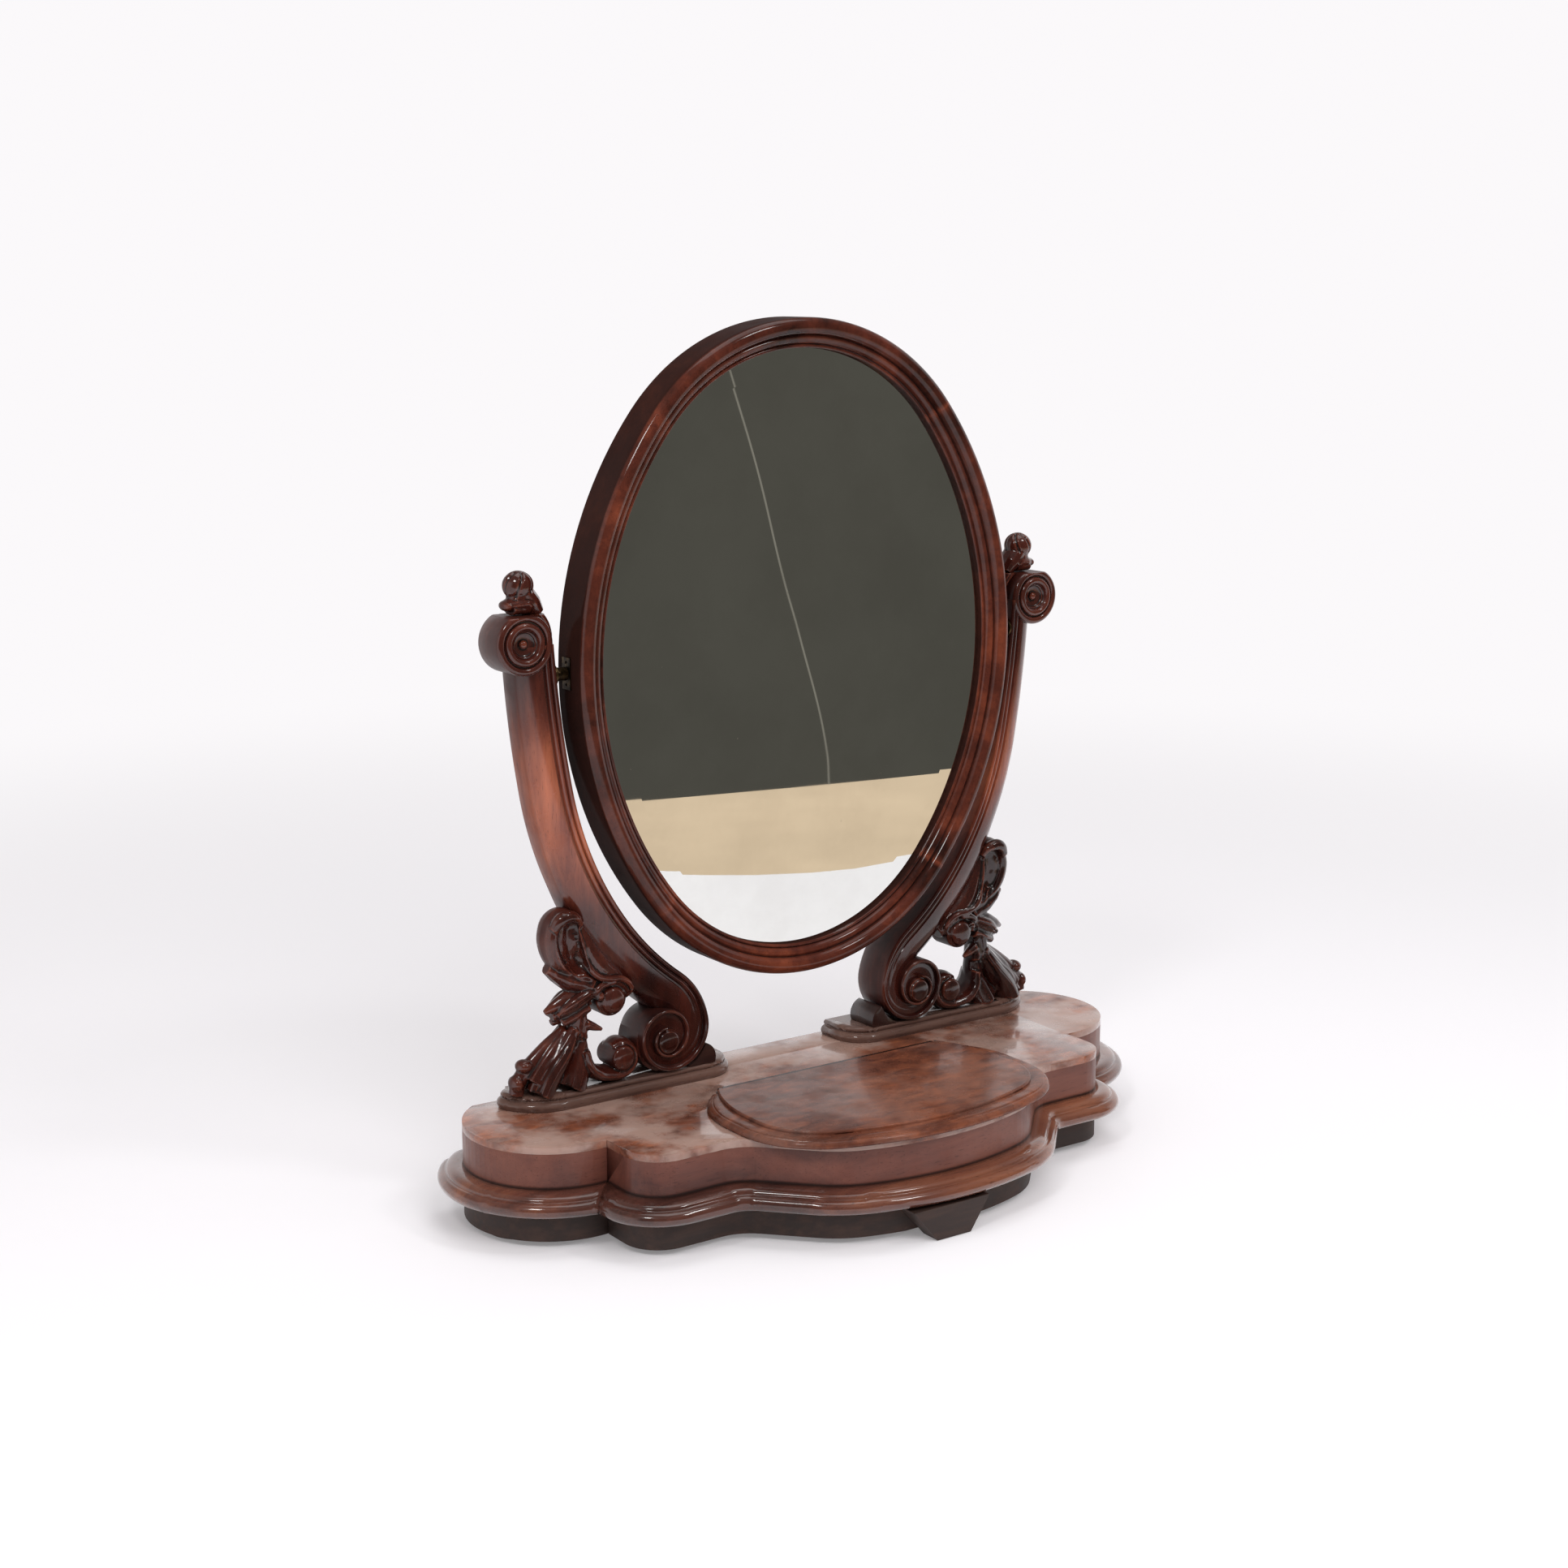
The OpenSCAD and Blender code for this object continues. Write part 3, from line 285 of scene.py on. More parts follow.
@dataclass(frozen=True)
class PolishedMahogany:
    """Old French-polished mahogany: warm figure, dark pores, dirt and painted shade in the hollows, rubbed ridges with
    a painted highlight, and painted shade on its sides and in gaps.
    """

    name: str
    dark: Colour = (0.024, 0.008, 0.006)
    body: Colour = (0.105, 0.028, 0.017)
    warm: Colour = (0.250, 0.072, 0.034)
    grain: Grain = Grain.ALONG_X
    shift: Point = (0.0, 0.0, 0.0)
    roughness: float = 0.24
    polish: float = 0.6
    patchy: float = 0.25
    # scale of each pattern
    figure: float = 22.0
    streaks: float = 170.0
    pores: float = 950.0
    clouds: float = 6.0
    rubbing: float = 34.0
    blooms: float = 13.0
    ripple: float = 55.0
    # what wear and light do to it, each from none to full
    hollows: bool = False
    dull_shaded_sides: float = 0.0
    # heights between which an arm's shaft grows pale and dark again
    pale_shaft: Knot | None = None
    haze: float = 0.0
    # depth and half length of a straight joint, along whose gap a painted shadow line runs, and the height of a
    # painted line of shade with dirt where the sides meet the plinth
    shadowed_gap: Pair | None = None
    junction_shade_height: float | None = None
    specular: float = 0.3
    coat_roughness: float = 0.08

    def make(self) -> Material:
        """Builds the material."""
        s = Shader(self.name)
        run = s.place(self.grain.value, self.shift)
        figure = s.noise(run, self.figure, 3.0, 0.5, 0.9)
        streak = s.noise(run, self.streaks, 5.0, 0.6, 0.4)
        pores = s.noise(run, self.pores, 2.0, 0.5)
        cloud = s.noise(s.place(shift=self.shift), self.clouds, 3.0, 0.55)
        tone = figure * 0.5 + streak * 0.22 + cloud * 0.4
        shaft = self._shaft(s) if self.pale_shaft else None
        if shaft:
            tone = tone + shaft * 0.15 - 0.03
        stops = [(0.40, self.dark), (0.56, self.body), (0.74, self.warm)]
        colour = s.node("ShaderNodeValToRGB", {"stops": stops}, {0: tone})
        colour = s.blend(pores.between(0.40, 0.28) * 0.4, colour, PORE_DIRT)
        wear = s.noise(s.place(), self.rubbing, 5.0, 0.62)
        if self.haze:
            mist = s.noise(s.place(shift=self.shift), self.blooms, 5.0, 0.6)
            colour = s.blend(mist.between(0.42, 0.60) * self.haze, colour, BLOOM)
        rough = wear.between(0.35, 0.75) * 0.16 + (self.roughness - 0.06)
        coat = self.polish - wear.between(0.45, 0.72) * self.patchy
        if self.hollows:
            # dirt and painted shade darken the hollows; rubbing and a painted highlight lighten the ridges
            bend = s.node("ShaderNodeAttribute", {"attribute_name": HOLLOW}, output="Fac")
            dirt_and_shade = bend.between(0.52, 0.68) * (wear * 0.5 + 0.65)
            ridge_wear_and_highlight = bend.between(0.46, 0.30) * wear.between(0.3, 0.65)
            colour = s.blend(ridge_wear_and_highlight * 0.45, colour, tuple(min(1.0, 1.5 * c) for c in self.warm))
            colour = s.blend(dirt_and_shade.least(1.0) * 0.92, colour, HOLLOW_DIRT_AND_SHADE)
            rough = (rough + dirt_and_shade * 0.22).least(0.8)
        if shaft:
            colour = s.blend((1.0 - shaft) * 0.92, colour, DARKENED, "MULTIPLY")
        # painted shade: faces turned to the side are darkened, and their polish dulled
        if self.dull_shaded_sides:
            _, across, _ = s.split("Normal")
            side = across.size().between(0.42, 0.08)
            colour = s.blend(side * self.dull_shaded_sides, colour, SIDE_SHADE)
            rough = rough + side * 0.25
            coat = coat * (1.0 - side * 0.9)
        # painted shadow: a dark line along the gap at the lid's back edge
        if self.shadowed_gap:
            depth, reach = self.shadowed_gap
            x, y, _ = s.axes()
            gap_shadow = (y - depth).size().between(0.0036, 0.0022) * x.size().between(reach + 0.003, reach)
            colour = s.blend(gap_shadow * 0.9, colour, GAP_SHADOW)
        # painted shade with dirt: a dark line where the box's sides meet the plinth
        if self.junction_shade_height:
            _, _, height = s.axes()
            colour = s.blend((height - self.junction_shade_height).between(0.0032, 0.0010) * 0.85, colour, JUNCTION_SHADE)
        skin = streak * 0.45 + s.noise(s.place(), self.ripple, 3.0) * 0.55
        return s.finish(
            Base_Color=colour,
            Roughness=rough,
            Normal=s.bump(skin, 0.10, 0.0006),
            Specular_IOR_Level=self.specular,
            Coat_Weight=coat,
            Coat_Roughness=self.coat_roughness,
            Coat_IOR=1.5,
        )

    def _shaft(self, s: Shader) -> Wave:
        """1 along the plain shaft of an arm, 0 on its carved ends."""
        low, full, still, end = self.pale_shaft
        _, _, height = s.axes()
        return height.between(low, full) * height.between(end, still)


@dataclass(frozen=True)
class ShadedStainedWood:
    """Dark stained softwood under the base, made darker still as painted shade under the plinth."""

    name: str
    # the stain, darkened further as painted shade under the plinth
    colour: Colour = (0.030, 0.016, 0.012)

    def make(self) -> Material:
        """Builds the material."""
        s = Shader(self.name)
        grain = s.noise(s.place((0.15, 1.0, 1.0)), 120.0, 5.0)
        pale = tuple(2.2 * c for c in self.colour)
        colour = s.blend(grain.between(0.35, 0.75), self.colour, pale)
        return s.finish(Base_Color=colour, Roughness=grain * 0.3 + 0.5, Normal=s.bump(grain, 0.3, 0.0008))


@dataclass(frozen=True)
class BarePine:
    """Old unpolished pine of the backboard and blocks."""

    name: str
    grain: Grain = Grain.ALONG_Z

    def make(self) -> Material:
        """Builds the material."""
        s = Shader(self.name)
        run = s.place(self.grain.value)
        rings = s.noise(run, 40.0, 3.0, 0.5, 1.2)
        dust = s.noise(s.place(), 9.0, 4.0)
        stops = [(0.35, (0.20, 0.105, 0.045)), (0.52, (0.34, 0.20, 0.095)), (0.70, (0.44, 0.28, 0.14))]
        colour = s.node("ShaderNodeValToRGB", {"stops": stops}, {0: rings})
        colour = s.blend(dust.between(0.45, 0.75) * 0.5, colour, (0.15, 0.10, 0.065))
        return s.finish(Base_Color=colour, Roughness=dust * 0.2 + 0.6, Normal=s.bump(rings, 0.35, 0.0008))


@dataclass(frozen=True)
class AgedBrass:
    """Brass gone brown where nobody rubs it."""

    name: str

    def make(self) -> Material:
        """Builds the material."""
        s = Shader(self.name)
        stain = s.noise(s.place(), 220.0, 4.0)
        colour = s.blend(stain.between(0.35, 0.6), (0.13, 0.085, 0.04), (0.045, 0.03, 0.018))
        skin = s.bump(stain, 0.1, 0.0002)
        return s.finish(Base_Color=colour, Metallic=1.0, Roughness=stain * 0.35 + 0.22, Normal=skin)


@dataclass(frozen=True)
class PlainSteel:
    """Iron wood screws."""

    name: str

    def make(self) -> Material:
        """Builds the material."""
        s = Shader(self.name)
        rust = s.noise(s.place(), 180.0, 5.0)
        colour = s.blend(rust.between(0.5, 0.7), (0.32, 0.31, 0.30), (0.16, 0.075, 0.04))
        return s.finish(Base_Color=colour, Metallic=0.9, Roughness=rust * 0.4 + 0.25)


@dataclass(frozen=True)
class Velvet:
    """Crimson pile that lines the well."""

    name: str

    def make(self) -> Material:
        """Builds the material."""
        s = Shader(self.name)
        pile = s.noise(s.place(), 1400.0, 2.0)
        crush = s.noise(s.place(), 30.0, 3.0)
        colour = s.blend(crush.between(0.4, 0.7), (0.11, 0.008, 0.016), (0.22, 0.022, 0.036))
        nap = s.bump(pile, 0.4, 0.0006)
        return s.finish(Base_Color=colour, Roughness=0.9, Normal=nap, Sheen_Weight=0.6, Sheen_Roughness=0.4)


@dataclass(frozen=True)
class SilveredPlate:
    """Old bevelled mirror plate with a little foxing."""

    name: str

    def make(self) -> Material:
        """Builds the material."""
        s = Shader(self.name)
        specks = s.noise(s.place(), 210.0, 4.0, 0.7)
        haze = s.noise(s.place(), 14.0, 4.0, 0.6)
        spot = specks.between(0.70, 0.78) * haze.between(0.42, 0.6)
        film = s.blend(haze.between(0.35, 0.7), (0.80, 0.81, 0.785), (0.75, 0.755, 0.73))
        colour = s.blend(spot * 0.7, film, (0.30, 0.28, 0.24))
        dulled = spot * 0.4 + haze.between(0.3, 0.8) * 0.015 + 0.004
        return s.finish(Base_Color=colour, Metallic=1.0, Roughness=dulled)


@dataclass
class Viewpoint:
    """Where the photograph was taken from."""

    place: Point = (-1.1896, -1.5864, 0.7554)
    azimuth: float = 35.0
    pitch: float = 11.63
    lens: float = 56.26
    sensor: float = 36.0
    shift_y: float = -0.001

    def build(self) -> None:
        """Adds the camera and makes it the scene's."""
        data = bpy.data.cameras.new("camera")
        data.lens = self.lens
        data.sensor_width = self.sensor
        data.shift_y = self.shift_y
        data.clip_start = 0.01
        camera = Bench.add("camera", data)
        camera.location = self.place
        camera.rotation_euler = (math.radians(90.0 - self.pitch), 0.0, math.radians(-self.azimuth))
        bpy.context.scene.camera = camera
        log.info("made the camera")


@dataclass
class Studio:
    """A white table top and wall, soft light, and the dark side of the room the glass looks at."""

    floor_reach: float = 9.0
    floor_front: float = -1.12
    floor_drop: float = 0.0005
    # how far away the table top turns as white as the wall, and the scale of its grit
    fades: Pair = (0.75, 2.6)
    grit: float = 70.0
    white: Colour = (0.86, 0.835, 0.86)
    far_white: Colour = (0.965, 0.945, 0.96)
    glow: float = 0.20
    fill: float = 0.45
    room: Colour = (0.089, 0.085, 0.072)
    cream: Colour = (0.87, 0.683, 0.483)
    trim: Colour = (0.25, 0.235, 0.20)
    # where the wall stands and where the cloth ends, on the table, in front of the mirror
    wall_foot: tuple[Pair, ...] = (
        (-0.5, -1.489), (0.639, -1.247), (0.767, -1.220), (0.897, -1.194), (1.039, -1.169), (1.178, -1.149),
        (2.4, -0.98),
    )
    cloth_edge: tuple[Pair, ...] = (
        (2.4, -0.60), (0.900, -0.732), (0.768, -0.728), (0.666, -0.724), (0.607, -0.738), (0.540, -0.769),
        (0.488, -0.805), (0.444, -0.841), (0.380, -0.910), (0.300, -1.080),
    )
    cloth_lift: float = 0.002
    # height of the wall's top, and a pale trim that hangs on it, with half its width
    wall_top: float = 1.3
    trim_half: float = 0.0014
    trim_line: tuple[Point, ...] = (
        (0.750, -1.206, 0.750), (0.792, -1.198, 0.614), (0.832, -1.191, 0.487), (0.875, -1.183, 0.319),
        (0.900, -1.179, 0.236), (0.946, -1.171, 0.054), (0.949, -1.170, 0.005),
    )
    # place, aim, width and power of each soft lamp
    lamps: tuple[tuple[str, Point, Point, float, float], ...] = (
        ("window", (-0.5, -2.3, 2.4), (0.0, 0.0, 0.30), 1.5, 32.5),
        ("ceiling", (0.3, 0.1, 2.6), (0.0, 0.0, 0.1), 1.6, 12.0),
        ("bulb_left", (-1.7, -1.0, 2.3), (0.0, 0.0, 0.30), 0.45, 13.0),
        ("bulb_right", (0.9, -1.6, 2.5), (0.0, 0.0, 0.30), 0.40, 9.0),
    )

    def build(self) -> None:
        """Adds the floor, the room's dark side, the lamps and the world."""
        bpy.context.scene.view_settings.view_transform = "Standard"
        self._floor()
        self._room()
        self._lamps()
        self._world()

    def _floor(self) -> None:
        """The pale table top, ended in front where the glass looks past it."""
        middle = (self.floor_front + self.floor_reach) / 2
        bpy.ops.mesh.primitive_plane_add(size=1.0, location=(0.0, middle, -self.floor_drop))
        floor = bpy.context.active_object
        floor.name = "table_top"
        floor.scale = (2 * self.floor_reach, self.floor_reach - self.floor_front, 1.0)
        bpy.ops.object.transform_apply(location=True, rotation=True, scale=True)
        floor.data.materials.append(self._white_paint())

    def _white_paint(self) -> Material:
        """Matt white that keeps the shadow, shown as white as the wall to the camera and in reflections.

        Returns:
            The material.
        """
        s = Shader("white_paint")
        grit = s.noise(s.place(), self.grit, 3.0)
        pale = tuple(min(1.0, 1.03 * c) for c in self.white)
        matt = s.node("ShaderNodeBsdfDiffuse", None, {"Color": s.blend(grit, self.white, pale)})
        near = s.node("ShaderNodeAddShader", None, {0: matt, 1: s.shine(self.far_white, self.glow)})
        x, y, _ = s.axes()
        away = (x * x + y * y).root().between(*self.fades)
        shown = s.choose(away, near, s.shine(self.far_white))
        seen = s.ray("Camera").most(s.ray("Glossy")).most(s.ray("Transmission"))
        return s.show(s.choose(seen, matt, shown))

    def _room(self) -> None:
        """The wall, the cloth and the trim that only the glass and the polish show."""
        wall = Bench.draw("room_side", [(x, y, 0.0) for x, y in self.wall_foot])
        with Bench.editing(wall):
            bpy.ops.mesh.extrude_region_move(TRANSFORM_OT_translate={"value": (0.0, 0.0, self.wall_top)})
        outline = [(x, y, self.cloth_lift) for x, y in (*self.wall_foot, *self.cloth_edge)]
        cloth = Bench.draw("table_cloth", outline, closed=True)
        with Bench.editing(cloth):
            bpy.ops.mesh.fill()
        trim = Bench.tube("room_trim", [(*place, self.trim_half) for place in self.trim_line])
        for thing, colour in ((wall, self.room), (cloth, self.cream), (trim, self.trim)):
            self._only_reflected(thing, colour)

    @staticmethod
    def _only_reflected(card: Thing, colour: Colour) -> None:
        """Makes a card that only reflections show.

        Args:
            card: the object.
            colour: its colour.
        """
        s = Shader(card.name)
        mottle = s.noise(s.place(), 3.0, 3.0)
        tone = s.blend(mottle.between(0.3, 0.7), colour, tuple(0.90 * c for c in colour))
        card.data.materials.clear()
        card.data.materials.append(s.show(s.shine(tone)))
        card.visible_camera = card.visible_diffuse = card.visible_shadow = False

    def _lamps(self) -> None:
        """Broad soft lamps in front, above and at the side."""
        for name, place, aim, size, watts in self.lamps:
            data = bpy.data.lights.new(name, "AREA")
            data.size = size
            data.energy = watts
            lamp = Bench.add(name, data)
            lamp.location = place
            lamp.visible_glossy = not name.startswith("window")
            lamp.rotation_euler = (Vector(aim) - Vector(place)).to_track_quat("-Z", "Y").to_euler()

    def _world(self) -> None:
        """White to the camera, a plain grey level of light, and the dark room in front to what reflects."""
        s = Shader("room", world=True)
        _, depth, height = s.split("Generated")
        front = (depth * -1.0).between(0.18, 0.50) * height.between(0.80, 0.55)
        around = s.blend(front, self.far_white, self.room)
        around = s.blend(height.between(0.32, 0.66) * 0.85, around, self.room)
        reflects = s.ray("Glossy").most(s.ray("Transmission"))
        first = s.choose(reflects, s.shine((1.0, 1.0, 1.0), self.fill), s.shine(around))
        bpy.context.scene.world = s.show(s.choose(s.ray("Camera"), first, s.shine(self.far_white)))


@dataclass(frozen=True)
class Arc:
    """A stretch of an outline in the X-Z plane, in millimetres and degrees."""

    x: float
    z: float
    radius: float
    start: float
    end: float
    hollow: bool = False

    def at(self, share: float, offset: float) -> Pair:
        """A place beside the arc.

        Args:
            share: how far along the arc, 0 to 1.
            offset: distance from the arc, away from the mirror.

        Returns:
            Its x and z.
        """
        angle = math.radians(self.start + (self.end - self.start) * share)
        radius = self.radius - offset if self.hollow else self.radius + offset
        return self.x + radius * math.cos(angle), self.z + radius * math.sin(angle)


class Bench:
    """The modelling steps that the pieces share."""

    @staticmethod
    def clear() -> None:
        """Deselects everything."""
        if bpy.context.mode != "OBJECT":
            bpy.ops.object.mode_set(mode="OBJECT")
        bpy.ops.object.select_all(action="DESELECT")

    @staticmethod
    def pick(thing: Thing) -> None:
        """Selects one object alone and makes it active."""
        Bench.clear()
        thing.select_set(True)
        bpy.context.view_layer.objects.active = thing

    @staticmethod
    def add(name: str, data: bpy.types.ID) -> Thing:
        """Puts data in the scene as an object, selected alone."""
        thing = bpy.data.objects.new(name, data)
        bpy.context.collection.objects.link(thing)
        Bench.pick(thing)
        return thing

    @staticmethod
    @contextmanager
    def editing(thing: Thing) -> Iterator[None]:
        """Edit mode on one object, with all of it selected."""
        Bench.pick(thing)
        bpy.ops.object.mode_set(mode="EDIT")
        bpy.ops.mesh.select_all(action="SELECT")
        yield
        bpy.ops.object.mode_set(mode="OBJECT")

    @staticmethod
    def draw(name: str, points: Iterable[Point], closed: bool = False) -> Thing:
        """Draws a line through points, as a mesh of edges.

        Args:
            name: the object's name.
            points: the places, in metres.
            closed: whether the last joins the first.

        Returns:
            The object, active and selected.
        """
        points = list(points)
        curve = bpy.data.curves.new(name, "CURVE")
        curve.dimensions = "3D"
        spline = curve.splines.new("POLY")
        spline.points.add(len(points) - 1)
        for knot, place in zip(spline.points, points):
            knot.co = (*place, 1.0)
        spline.use_cyclic_u = closed
        return Bench.to_mesh(name, curve)

    @staticmethod
    def to_mesh(name: str, curve: bpy.types.Curve) -> Thing:
        """Turns a curve into a mesh object.

        Args:
            name: the object's name.
            curve: the curve.

        Returns:
            The mesh object, active and selected.
        """
        Bench.add(name, curve)
        bpy.ops.object.convert(target="MESH")
        thing = bpy.context.active_object
        thing.name = name
        return thing

    @staticmethod
    def tube(name: str, knots: Sequence[Sequence[float]], flat: float = 1.0) -> Thing:
        """A tapered rib through knots, wider front to back if asked.

        Args:
            name: the object's name.
            knots: x, y, z in metres and radius in metres of each knot.
            flat: factor on its depth along Y.

        Returns:
            The mesh object.
        """
        curve = bpy.data.curves.new(name, "CURVE")
        curve.dimensions = "3D"
        curve.bevel_depth = 1.0
        curve.bevel_resolution = 4
        curve.use_fill_caps = True
        curve.resolution_u = 10
        spline = curve.splines.new("BEZIER")
        spline.bezier_points.add(len(knots) - 1)
        for knot, (x, y, z, radius) in zip(spline.bezier_points, knots):
            knot.co = (x, y, z)
            knot.radius = radius
            knot.handle_left_type = knot.handle_right_type = "AUTO"
        thing = Bench.to_mesh(name, curve)
        if flat != 1.0:
            middle = sum(k[1] for k in knots) / len(knots)
            for vertex in thing.data.vertices:
                vertex.co.y = middle + (vertex.co.y - middle) * flat
        return thing

    @staticmethod
    def ball(name: str, place: Point, size: Point) -> Thing:
        """A rounded lump of the given half sizes.

        Args:
            name: the object's name.
            place: its centre.
            size: its half size on each axis.

        Returns:
            The mesh object.
        """
        Bench.clear()
        bpy.ops.mesh.primitive_uv_sphere_add(segments=32, ring_count=20, radius=1.0, location=place, scale=size)
        thing = bpy.context.active_object
        thing.name = name
        bpy.ops.object.transform_apply(location=True, rotation=True, scale=True)
        return thing

    @staticmethod
    def bow(middle: Pair, wide: float, deep: float, angles: Iterable[float]) -> list[Pair]:
        """Places along an ellipse, by its centre, its two half sizes and the places' angles in degrees."""
        turns = [math.radians(n) for n in angles]
        return [(middle[0] + wide * math.cos(a), middle[1] + deep * math.sin(a)) for a in turns]

    @staticmethod
    def sweep(name: str, section: Iterable[Point], turns: Iterable[Turn], closed: bool = True) -> Thing:
        """Carries a section round one arc after another.

        Args:
            name: the object's name.
            section: the line at the start.
            turns: centre, axis, degrees and steps of each arc.
            closed: whether the line's last point joins its first.

        Returns:
            The closed mesh object.
        """
        thing = Bench.draw(name, section, closed)
        with Bench.editing(thing):
            for centre, axis, degrees, steps in turns:
                bpy.ops.mesh.spin(steps=steps, angle=-math.radians(degrees), center=centre, axis=axis)
            Bench.close()
        return thing

    @staticmethod
    def close() -> None:
        """In edit mode: merges, caps open ends and turns faces outwards."""
        bpy.ops.mesh.select_all(action="SELECT")
        bpy.ops.mesh.remove_doubles(threshold=MERGE)
        bpy.ops.mesh.fill_holes(sides=0)
        bpy.ops.mesh.select_all(action="SELECT")
        bpy.ops.mesh.normals_make_consistent(inside=False)

    @staticmethod
    def level(thing: Thing, height: float, above: bool = True) -> Thing:
        """Cuts a piece off level and caps the cut.

        Args:
            thing: the piece.
            height: where, in metres.
            above: whether the part above stays, or the part below.

        Returns:
            The same piece.
        """
        ways = {"clear_inner": above, "clear_outer": not above}
        with Bench.editing(thing):
            bpy.ops.mesh.bisect(plane_co=(0.0, 0.0, height), plane_no=(0.0, 0.0, 1.0), use_fill=True, **ways)
        return thing

    @staticmethod
    def loft(name: str, rings: Sequence[Sequence[Point]]) -> Thing:
        """A skin over rings of the same number of points, capped at both ends.

        Args:
            name: the object's name.
            rings: the rings, in order.

        Returns:
            The closed mesh object.
        """
        count = len(rings[0])
        points = [p for ring in rings for p in ring]
        steps = [(b, (b + 1) % count) for b in range(count)]
        faces = [
            (a + b, a + after, a + count + after, a + count + b)
            for a in range(0, len(points) - count, count)
            for b, after in steps
        ]
        mesh = bpy.data.meshes.new(name)
        mesh.from_pydata(points, [], faces)
        thing = Bench.add(name, mesh)
        with Bench.editing(thing):
            Bench.close()
        return thing

    @staticmethod
    def join(name: str, things: Sequence[Thing]) -> Thing:
        """Joins meshes into one object.

        Args:
            name: the joined object's name.
            things: the objects.

        Returns:
            The joined object.
        """
        Bench.pick(things[0])
        for thing in things:
            thing.select_set(True)
        if len(things) > 1:
            bpy.ops.object.join()
        made = bpy.context.active_object
        made.name = made.data.name = name
        return made

    @staticmethod
    def modify(thing: Thing, kind: str, **settings: object) -> None:
        """Adds a modifier and applies it.

        Args:
            thing: the object.
            kind: the modifier's type.
            settings: its settings.
        """
        Bench.pick(thing)
        modifier = thing.modifiers.new(kind.lower(), kind)
        for key, value in settings.items():
            setattr(modifier, key, value)
        bpy.ops.object.modifier_apply(modifier=modifier.name)

    @staticmethod
    def carve(name: str, things: Sequence[Thing], voxel: float, keep: float = 1.0) -> Thing:
        """Fuses overlapping lumps into one carved surface.

        Args:
            name: the result's name.
            things: the lumps.
            voxel: the finest detail, in metres.
            keep: share of the faces kept.

        Returns:
            The fused object.
        """
        lump = Bench.join(name, things)
        Bench.modify(lump, "REMESH", mode="VOXEL", voxel_size=voxel, adaptivity=0.0)
        Bench.modify(lump, "SMOOTH", factor=0.5, iterations=2)
        if keep < 1.0:
            Bench.modify(lump, "DECIMATE", ratio=keep)
        return lump

    @staticmethod
    def points(thing: Thing) -> tuple[np.ndarray, np.ndarray]:
        """Place and normal of every point, a row each."""
        rows = np.empty((2, len(thing.data.vertices) * 3))
        thing.data.vertices.foreach_get("co", rows[0])
        thing.data.vertices.foreach_get("normal", rows[1])
        return rows[0].reshape(-1, 3), rows[1].reshape(-1, 3)

    @staticmethod
    def groove(thing: Thing, line: Sequence[Point], width: float, depth: float) -> None:
        """Sinks a round-bottomed groove into a dense surface, along the nearest stretch of a line.

        Args:
            thing: the object.
            line: the groove's middle, in metres.
            width: half its width.
            depth: its depth.
        """
        place, normal = Bench.points(thing)
        nearest = np.full(len(place), 1.0)
        for first, last in zip(line[:-1], line[1:]):
            start, way = np.array(first), np.array(last) - np.array(first)
            share = np.clip((place - start) @ way / (way @ way), 0.0, 1.0)
            nearest = np.minimum(nearest, np.linalg.norm(place - start - share[:, None] * way, axis=1))
        sink = np.cos(np.clip(nearest / (1.6 * width), 0.0, 1.0) * math.pi / 2) ** 2
        place -= normal * (depth * sink)[:, None]
        thing.data.vertices.foreach_set("co", place.ravel())
        thing.data.update()

    @staticmethod
    def smooth(thing: Thing, degrees: float = 35.0) -> Thing:
        """Shades an object smooth except at its sharp edges.

        Args:
            thing: the object.
            degrees: the angle from which an edge is sharp.

        Returns:
            The same object.
        """
        Bench.pick(thing)
        bpy.ops.object.shade_smooth_by_angle(angle=math.radians(degrees))
        return thing

    @staticmethod
    def hollows(thing: Thing, reach: float = 0.0016, rounds: int = 2) -> Thing:
        """Marks how hollow the surface is at each point: above 0.5 in a groove, below it on a ridge.

        Args:
            thing: the object.
            reach: how sharp a bend counts as fully hollow: the radius in metres.
            rounds: how often the marks are spread to the neighbours.

        Returns:
            The same object.
        """
        place, normal = Bench.points(thing)
        count = len(place)
        ends = np.empty(len(thing.data.edges) * 2, dtype=np.int64)
        thing.data.edges.foreach_get("vertices", ends)
        first, last = ends[0::2], ends[1::2]
        way = place[last] - place[first]
        length = np.maximum(np.linalg.norm(way, axis=1), 1e-6)
        lift = np.zeros(count)
        total = np.full(count, 1e-9)
        for here, sign in ((first, 1.0), (last, -1.0)):
            np.add.at(lift, here, sign * np.einsum("ij,ij->i", way, normal[here]) / length)
            np.add.at(total, here, length)
        bend = lift / total
        weight = 1.0 / length
        weight /= weight.max()
        for _ in range(rounds):
            spread, share = bend.copy(), np.ones(count)
            for here, there in ((first, last), (last, first)):
                np.add.at(spread, here, bend[there] * weight)
                np.add.at(share, here, weight)
            bend = spread / share
        marks = np.clip(0.5 + bend * reach, 0.0, 1.0)
        thing.data.attributes.new(HOLLOW, "FLOAT", "POINT").data.foreach_set("value", marks)
        return thing

    @staticmethod
    def copied(node: str, name: str) -> Thing:
        """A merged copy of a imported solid, free to be finished.

        Args:
            node: the solid.
            name: the copy's name.

        Returns:
            The copy.
        """
        mesh = bpy.data.objects[node].data.copy()
        mesh.name = name
        mesh.materials.clear()
        thing = Bench.add(name, mesh)
        with Bench.editing(thing):
            bpy.ops.mesh.remove_doubles(threshold=SOLID_MERGE)
        return thing

